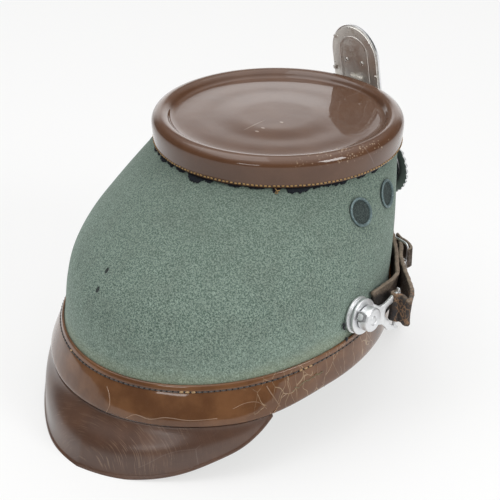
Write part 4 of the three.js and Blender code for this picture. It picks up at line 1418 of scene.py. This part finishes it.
class SHAKO_OT_plate(bpy.types.Operator):
    """Makes the looped front plate and its pleated backing"""

    bl_idname = "shako.plate"
    bl_label = "Front plate"

    def execute(self, context):
        colours = context.scene.shako_colours
        silver = metal_finish("plate_aluminium", dimmed(colours.aluminium, 0.8), (0.28, 0.46), None, 0.3)
        black = cloth_finish("backing_ribbon", colours.underlay)

        def on_plate(angle, size, out):
            return on_hat(plate_point(size * math.cos(angle), size * math.sin(angle), out))

        def pleated(turn, spot):
            size, out, pleat = spot
            angle = 2 * math.pi * turn
            wave = pleat * (0.5 + 0.5 * math.cos(54 * angle))
            return on_plate(angle, size, out + wave)

        rows = [
            (0.84, 1.3, 0.0), (0.855, 0.9, 0.0), (0.84, 0.4, 0.0), (0.45, 0.35, 0), (0.04, 0.35, 0),
            (0.04, 1.6, 0), (0.3, 1.7, 0.0), (0.5, 1.8, 0.0), (0.56, 1.7, 0.5), (0.7, 1.8, 0.7),
            (0.8, 1.8, 0.7),
        ]
        piece(wrap(rows, 432, pleated), "plate_ribbon", black, ["plate_backing"])

        def dished(turn, spot):
            return on_plate(2 * math.pi * turn, *spot)

        dish = [
            (0.02, 3.0), (0.15, 3.0), (0.30, 2.9), (0.40, 2.7), (0.445, 2.6), (0.46, 2.75), (0.475, 3.25),
            (0.495, 3.6), (0.515, 3.75), (0.535, 3.6), (0.55, 3.2), (0.555, 2.6), (0.54, 2.35), (0.4, 2.3),
            (0.02, 2.3),
        ]

        def looped(turn, spot):
            size, out = spot
            angle = 2 * math.pi * turn
            lobe = abs(math.cos(24 * angle))
            if size > 0.9:
                size -= 0.022 * (1 - lobe) * smooth(0.9, 1.0, size)
            if out > 2.4:
                out += 0.9 * (lobe - 0.6) * smooth(0.855, 0.9, size)
            return on_plate(angle, size, out)

        rim = [
            (0.83, 2.4), (0.832, 3.0), (0.845, 3.35), (0.86, 3.3), (0.875, 2.95), (0.89, 2.9), (0.915, 3.2),
            (0.95, 3.4), (0.975, 3.2), (0.995, 2.7), (1.0, 2.2), (0.995, 1.7), (0.95, 1.6), (0.88, 1.7),
            (0.835, 2.0),
        ]
        parts = [wrap(dish, 144, dished), wrap(rim, 576, looped)]
        piece(joined(parts), "plate_silver", silver, ["front_plate"], 60)
        return {"FINISHED"}


class SHAKO_OT_cockade(bpy.types.Operator):
    """Makes the tall oval cockade that stands over the crown's front"""

    bl_idname = "shako.cockade"
    bl_label = "Cockade"

    @staticmethod
    def oval(width, height, steps):
        r, flank = width / 2, height / 2 - width / 2 * 1.25
        points = []
        for start, level in ((0, flank), (math.pi, -flank)):
            for k in range(steps + 1):
                turn = start + math.pi * k / steps
                points.append((r * math.cos(turn), level + 1.25 * r * math.sin(turn)))
        return points

    def execute(self, context):
        colours = context.scene.shako_colours
        steel = metal_finish("back_steel", colours.steel, (0.42, 0.66), colours.stain, 0.35)
        nickel = metal_finish("rivet_nickel", (0.72, 0.70, 0.66), (0.2, 0.4), colours.stain)
        silver = metal_finish("cockade_silver", colours.aluminium, (0.25, 0.45))
        black = cloth_finish("cockade_ribbon", colours.underlay)
        matrix = in_frame(cockade_frame())
        parts = [cut_out(self.oval(31.4, 61.4, 24), 1.2, 0.25, matrix)]
        parts.append(self.prong())
        parts.append(self.ridge(matrix))
        parts += self.tabs(matrix)
        piece(joined(parts), "cockade_steel", steel, ["cockade_back"], 40)
        heads = bmesh.new()
        for side in (-1, 1):
            shape = Matrix.Translation((side * 5.5, 8, 0)) @ Matrix.Diagonal((1.4, 1.4, 0.95, 1))
            bmesh.ops.create_uvsphere(heads, u_segments=20, v_segments=12, radius=1.0, matrix=matrix @ shape)
        piece(heads, "cockade_rivets", nickel)
        self.front(matrix, silver, black)
        return {"FINISHED"}

    @staticmethod
    def prong():
        foot = 3.7 / math.tan(math.radians(COCKADE_LEAN)) - 38
        outline = [(-4.5, foot), (4.5, foot), (4.5, 3.2), (-4.5, 3.2)]
        place = in_frame(
            Matrix.Translation((0, -CROWN_RADIUS - 0.3, 0)) @ Matrix.Rotation(math.pi / 2, 4, "X")
        )
        shelf = [(-4.5, -75.2), (4.5, -75.2), (4.5, -71.5), (-4.5, -71.5)]
        under = in_frame(Matrix.Translation((0, 0, 2)))
        return joined([cut_out(outline, 1.2, 0.2, place), cut_out(shelf, 1.2, 0.2, under)])

    @staticmethod
    def ridge(matrix):
        """The raised line that follows the inside of the plate."""
        points = [Vector((-9.4, y, 0.1)) for y in (-16, -6, 4, 12)]
        points += [
            Vector((-9.4 * math.cos(t), 15 + 9 * math.sin(t), 0.1))
            for t in (math.pi * k / 10 for k in range(11))
        ]
        points += [Vector((9.4, y, 0.1)) for y in (12, 4, -6, -16)]
        return wire(Route(points, 4), 0.85, matrix, 90, False, 0.6)

    @staticmethod
    def tabs(matrix):
        """The bent tabs that hold the shell to the back."""
        made = []
        places = (
            (-12.2, 22.5, 125), (12.2, 22.5, 55), (-15.2, 0.5, 180), (15.2, 0.5, 0), (-14, -20, 200),
            (14, -20, -20),
        )
        for x, y, turn in places:
            place = matrix @ Matrix.Translation((x, y, -0.55)) @ Matrix.Rotation(math.radians(turn), 4, "Z")
            made.append(cut_out([(-1.3, -1.3), (0.9, -1.0), (0.9, 1.0), (-1.3, 1.3)], 0.55, 0.15, place))
        return made

    def front(self, matrix, silver, black):
        steps = 288

        def edge(turn, size):
            outline = self.oval(33 * size, 63 * size, 36)
            where = turn * len(outline)
            a, b = outline[int(where) % len(outline)], outline[(int(where) + 1) % len(outline)]
            return Vector(a).lerp(Vector(b), where % 1.0)

        rim = [
            (0.94, 1.2), (1.0, 1.2), (1.0, 2.4), (0.985, 2.8), (0.955, 3.0), (0.92, 2.95), (0.885, 2.6),
            (0.87, 2.2), (0.87, 1.2),
        ]
        inner = [
            (0.05, 4.6), (0.3, 4.5), (0.4, 4.2), (0.455, 3.9), (0.475, 3.4), (0.475, 2.8), (0.3, 2.8),
            (0.05, 2.8),
        ]
        ribbon = [
            (0.90, 1.6), (0.90, 2.3), (0.86, 2.5), (0.7, 3.0), (0.55, 3.3), (0.44, 3.4), (0.3, 3.2),
            (0.05, 3.2), (0.05, 1.6),
        ]

        def plain(turn, spot):
            size, out = spot
            point = edge(turn, size)
            return matrix @ Vector((point.x, point.y, out))

        def pleated(turn, spot):
            size, out = spot
            point = edge(turn, size)
            depth = 0.32 if 0.45 < size < 0.89 and out > 2.3 else 0.0
            wave = depth * (0.5 + 0.5 * math.cos(2 * math.pi * 48 * turn))
            return matrix @ Vector((point.x, point.y, out - wave))

        parts = [wrap(rim, steps, plain), wrap(inner, steps // 2, plain)]
        beads = bmesh.new()
        for k in range(64):
            point = edge(k / 64, 0.945)
            seat = matrix @ Matrix.Translation((point.x, point.y, 2.9))
            shape = Matrix.Diagonal((0.72, 0.72, 0.6, 1))
            bmesh.ops.create_icosphere(beads, subdivisions=2, radius=1.0, matrix=seat @ shape)
        parts.append(beads)
        piece(joined(parts), "cockade_rim", silver, ["cockade_shell"], 50)
        piece(wrap(ribbon, steps * 2, pleated), "cockade_pleats", black)


class SHAKO_OT_stage(bpy.types.Operator):
    """Sets the floor, the lights and the camera"""

    bl_idname = "shako.stage"
    bl_label = "Stage"

    # The lights as (name, size, place).
    lights = [
        ("top_light", (1.2, 1.2), (0.1, -0.1, 1.25)),
        ("left_light", (1.5, 0.9), (0.40, 0.30, 1.40)),
        ("right_light", (0.5, 0.45), (-1.19, -0.06, 0.82)),
        ("front_light", (0.45, 0.17), (-0.33, 1.28, 0.56)),
    ]

    def execute(self, context):
        scene = context.scene
        settings, colours = scene.shako_stage, scene.shako_colours
        bm = bmesh.new()
        bmesh.ops.create_grid(bm, x_segments=2, y_segments=2, size=3.0)
        bmesh.ops.translate(bm, vec=(0, 0, -0.0001), verts=bm.verts)
        mesh = bpy.data.meshes.new("floor")
        bm.to_mesh(mesh)
        bm.free()
        mesh.materials.append(floor_finish(colours))
        floor = bpy.data.objects.new("floor", mesh)
        scene.collection.objects.link(floor)
        self.room(scene, settings)
        middle = (0, 0, 0.08)
        for name, size, place in self.lights:
            self.light(scene, name, getattr(settings, name), size, place, middle)
        data = bpy.data.cameras.new("camera")
        data.lens = settings.lens
        data.sensor_width = 36.0
        data.clip_start, data.clip_end = 0.01, 20.0
        camera = bpy.data.objects.new("camera", data)
        back = Vector((-0.5695, 0.6800, 0.4617))
        across = Vector((-0.7666, -0.6421, 0.0))
        camera.matrix_world = Matrix.LocRotScale(
            Vector(settings.camera_place),
            Matrix((across, back.cross(across), back)).transposed().to_quaternion(),
            Vector((1, 1, 1)),
        )
        scene.collection.objects.link(camera)
        scene.camera = camera
        scene.view_settings.view_transform = "Standard"
        return {"FINISHED"}

    @staticmethod
    def room(scene, settings):
        """A room that is dark about the camera, pale above and white behind the hat."""
        world = bpy.data.worlds.new("studio_room")
        world.use_nodes = True
        tree = world.node_tree

        def node(kind, inputs, **options):
            made = tree.nodes.new("ShaderNode" + kind)
            for key, value in options.items():
                setattr(made, key, value)
            for key, value in inputs.items():
                if isinstance(value, bpy.types.NodeSocket):
                    tree.links.new(value, made.inputs[key])
                else:
                    made.inputs[key].default_value = value
            return made

        def step(value, low, high, start, end):
            values = {"Value": value, "From Min": low, "From Max": high, "To Min": start, "To Max": end}
            return node("MapRange", values, interpolation_type="SMOOTHSTEP").outputs["Result"]

        def facing(way, low, high):
            share = node("VectorMath", {0: direction, 1: way}, operation="DOT_PRODUCT").outputs["Value"]
            return step(share, low, high, 0.0, 1.0)

        def times(a, b):
            return node("Math", {0: a, 1: b}, operation="MULTIPLY").outputs[0]

        direction = node("TexCoord", {}).outputs["Object"]
        height = node("SeparateXYZ", {0: direction}).outputs[2]
        above = step(height, 0.42, 0.90, 0.09, settings.ceiling)
        behind = times(
            facing((0.642, -0.767, 0), 0.78, 0.95), step(height, 0.33, 0.48, settings.backdrop, 0.0)
        )
        total = node("Math", {0: above, 1: behind}, operation="ADD")
        tree.nodes["Background"].inputs["Color"].default_value = (1.0, 1.0, 1.0, 1.0)
        tree.links.new(total.outputs[0], tree.nodes["Background"].inputs["Strength"])
        scene.world = world

    @staticmethod
    def light(scene, name, power, size, place, aim):
        data = bpy.data.lights.new(name, "AREA")
        data.shape = "RECTANGLE"
        data.size, data.size_y = size
        data.energy = power
        lamp = bpy.data.objects.new(name, data)
        lamp.location = place
        lamp.rotation_euler = (Vector(aim) - Vector(place)).to_track_quat("-Z", "Y").to_euler()
        scene.collection.objects.link(lamp)


PIECES = (
    SHAKO_OT_felt, SHAKO_OT_underlay, SHAKO_OT_crown, SHAKO_OT_band, SHAKO_OT_peaks, SHAKO_OT_vents,
    SHAKO_OT_posts, SHAKO_OT_strap, SHAKO_OT_plate, SHAKO_OT_cockade, SHAKO_OT_stage,
)


class SHAKO_PT_pieces(bpy.types.Panel):
    """Lists the pieces of the hat and the stage"""

    bl_idname = "SHAKO_PT_pieces"
    bl_label = "Shako hat"
    bl_space_type = "VIEW_3D"
    bl_region_type = "UI"
    bl_category = "Shako"

    def draw(self, context):
        column = self.layout.column()
        for operator in PIECES:
            column.operator(operator.bl_idname)


GROUPS = (("shako_sizes", HatSizes), ("shako_colours", HatColours), ("shako_stage", HatStage))


def register():
    for name, group in GROUPS:
        bpy.utils.register_class(group)
        setattr(bpy.types.Scene, name, bpy.props.PointerProperty(type=group))
    for operator in PIECES:
        bpy.utils.register_class(operator)
    bpy.utils.register_class(SHAKO_PT_pieces)


def unregister():
    bpy.utils.unregister_class(SHAKO_PT_pieces)
    for operator in reversed(PIECES):
        bpy.utils.unregister_class(operator)
    for name, group in reversed(GROUPS):
        delattr(bpy.types.Scene, name)
        bpy.utils.unregister_class(group)


def main():
    register()
    for operator in PIECES:
        family, action = operator.bl_idname.split(".")
        getattr(getattr(bpy.ops, family), action)()


if __name__ == "__main__":
    main()
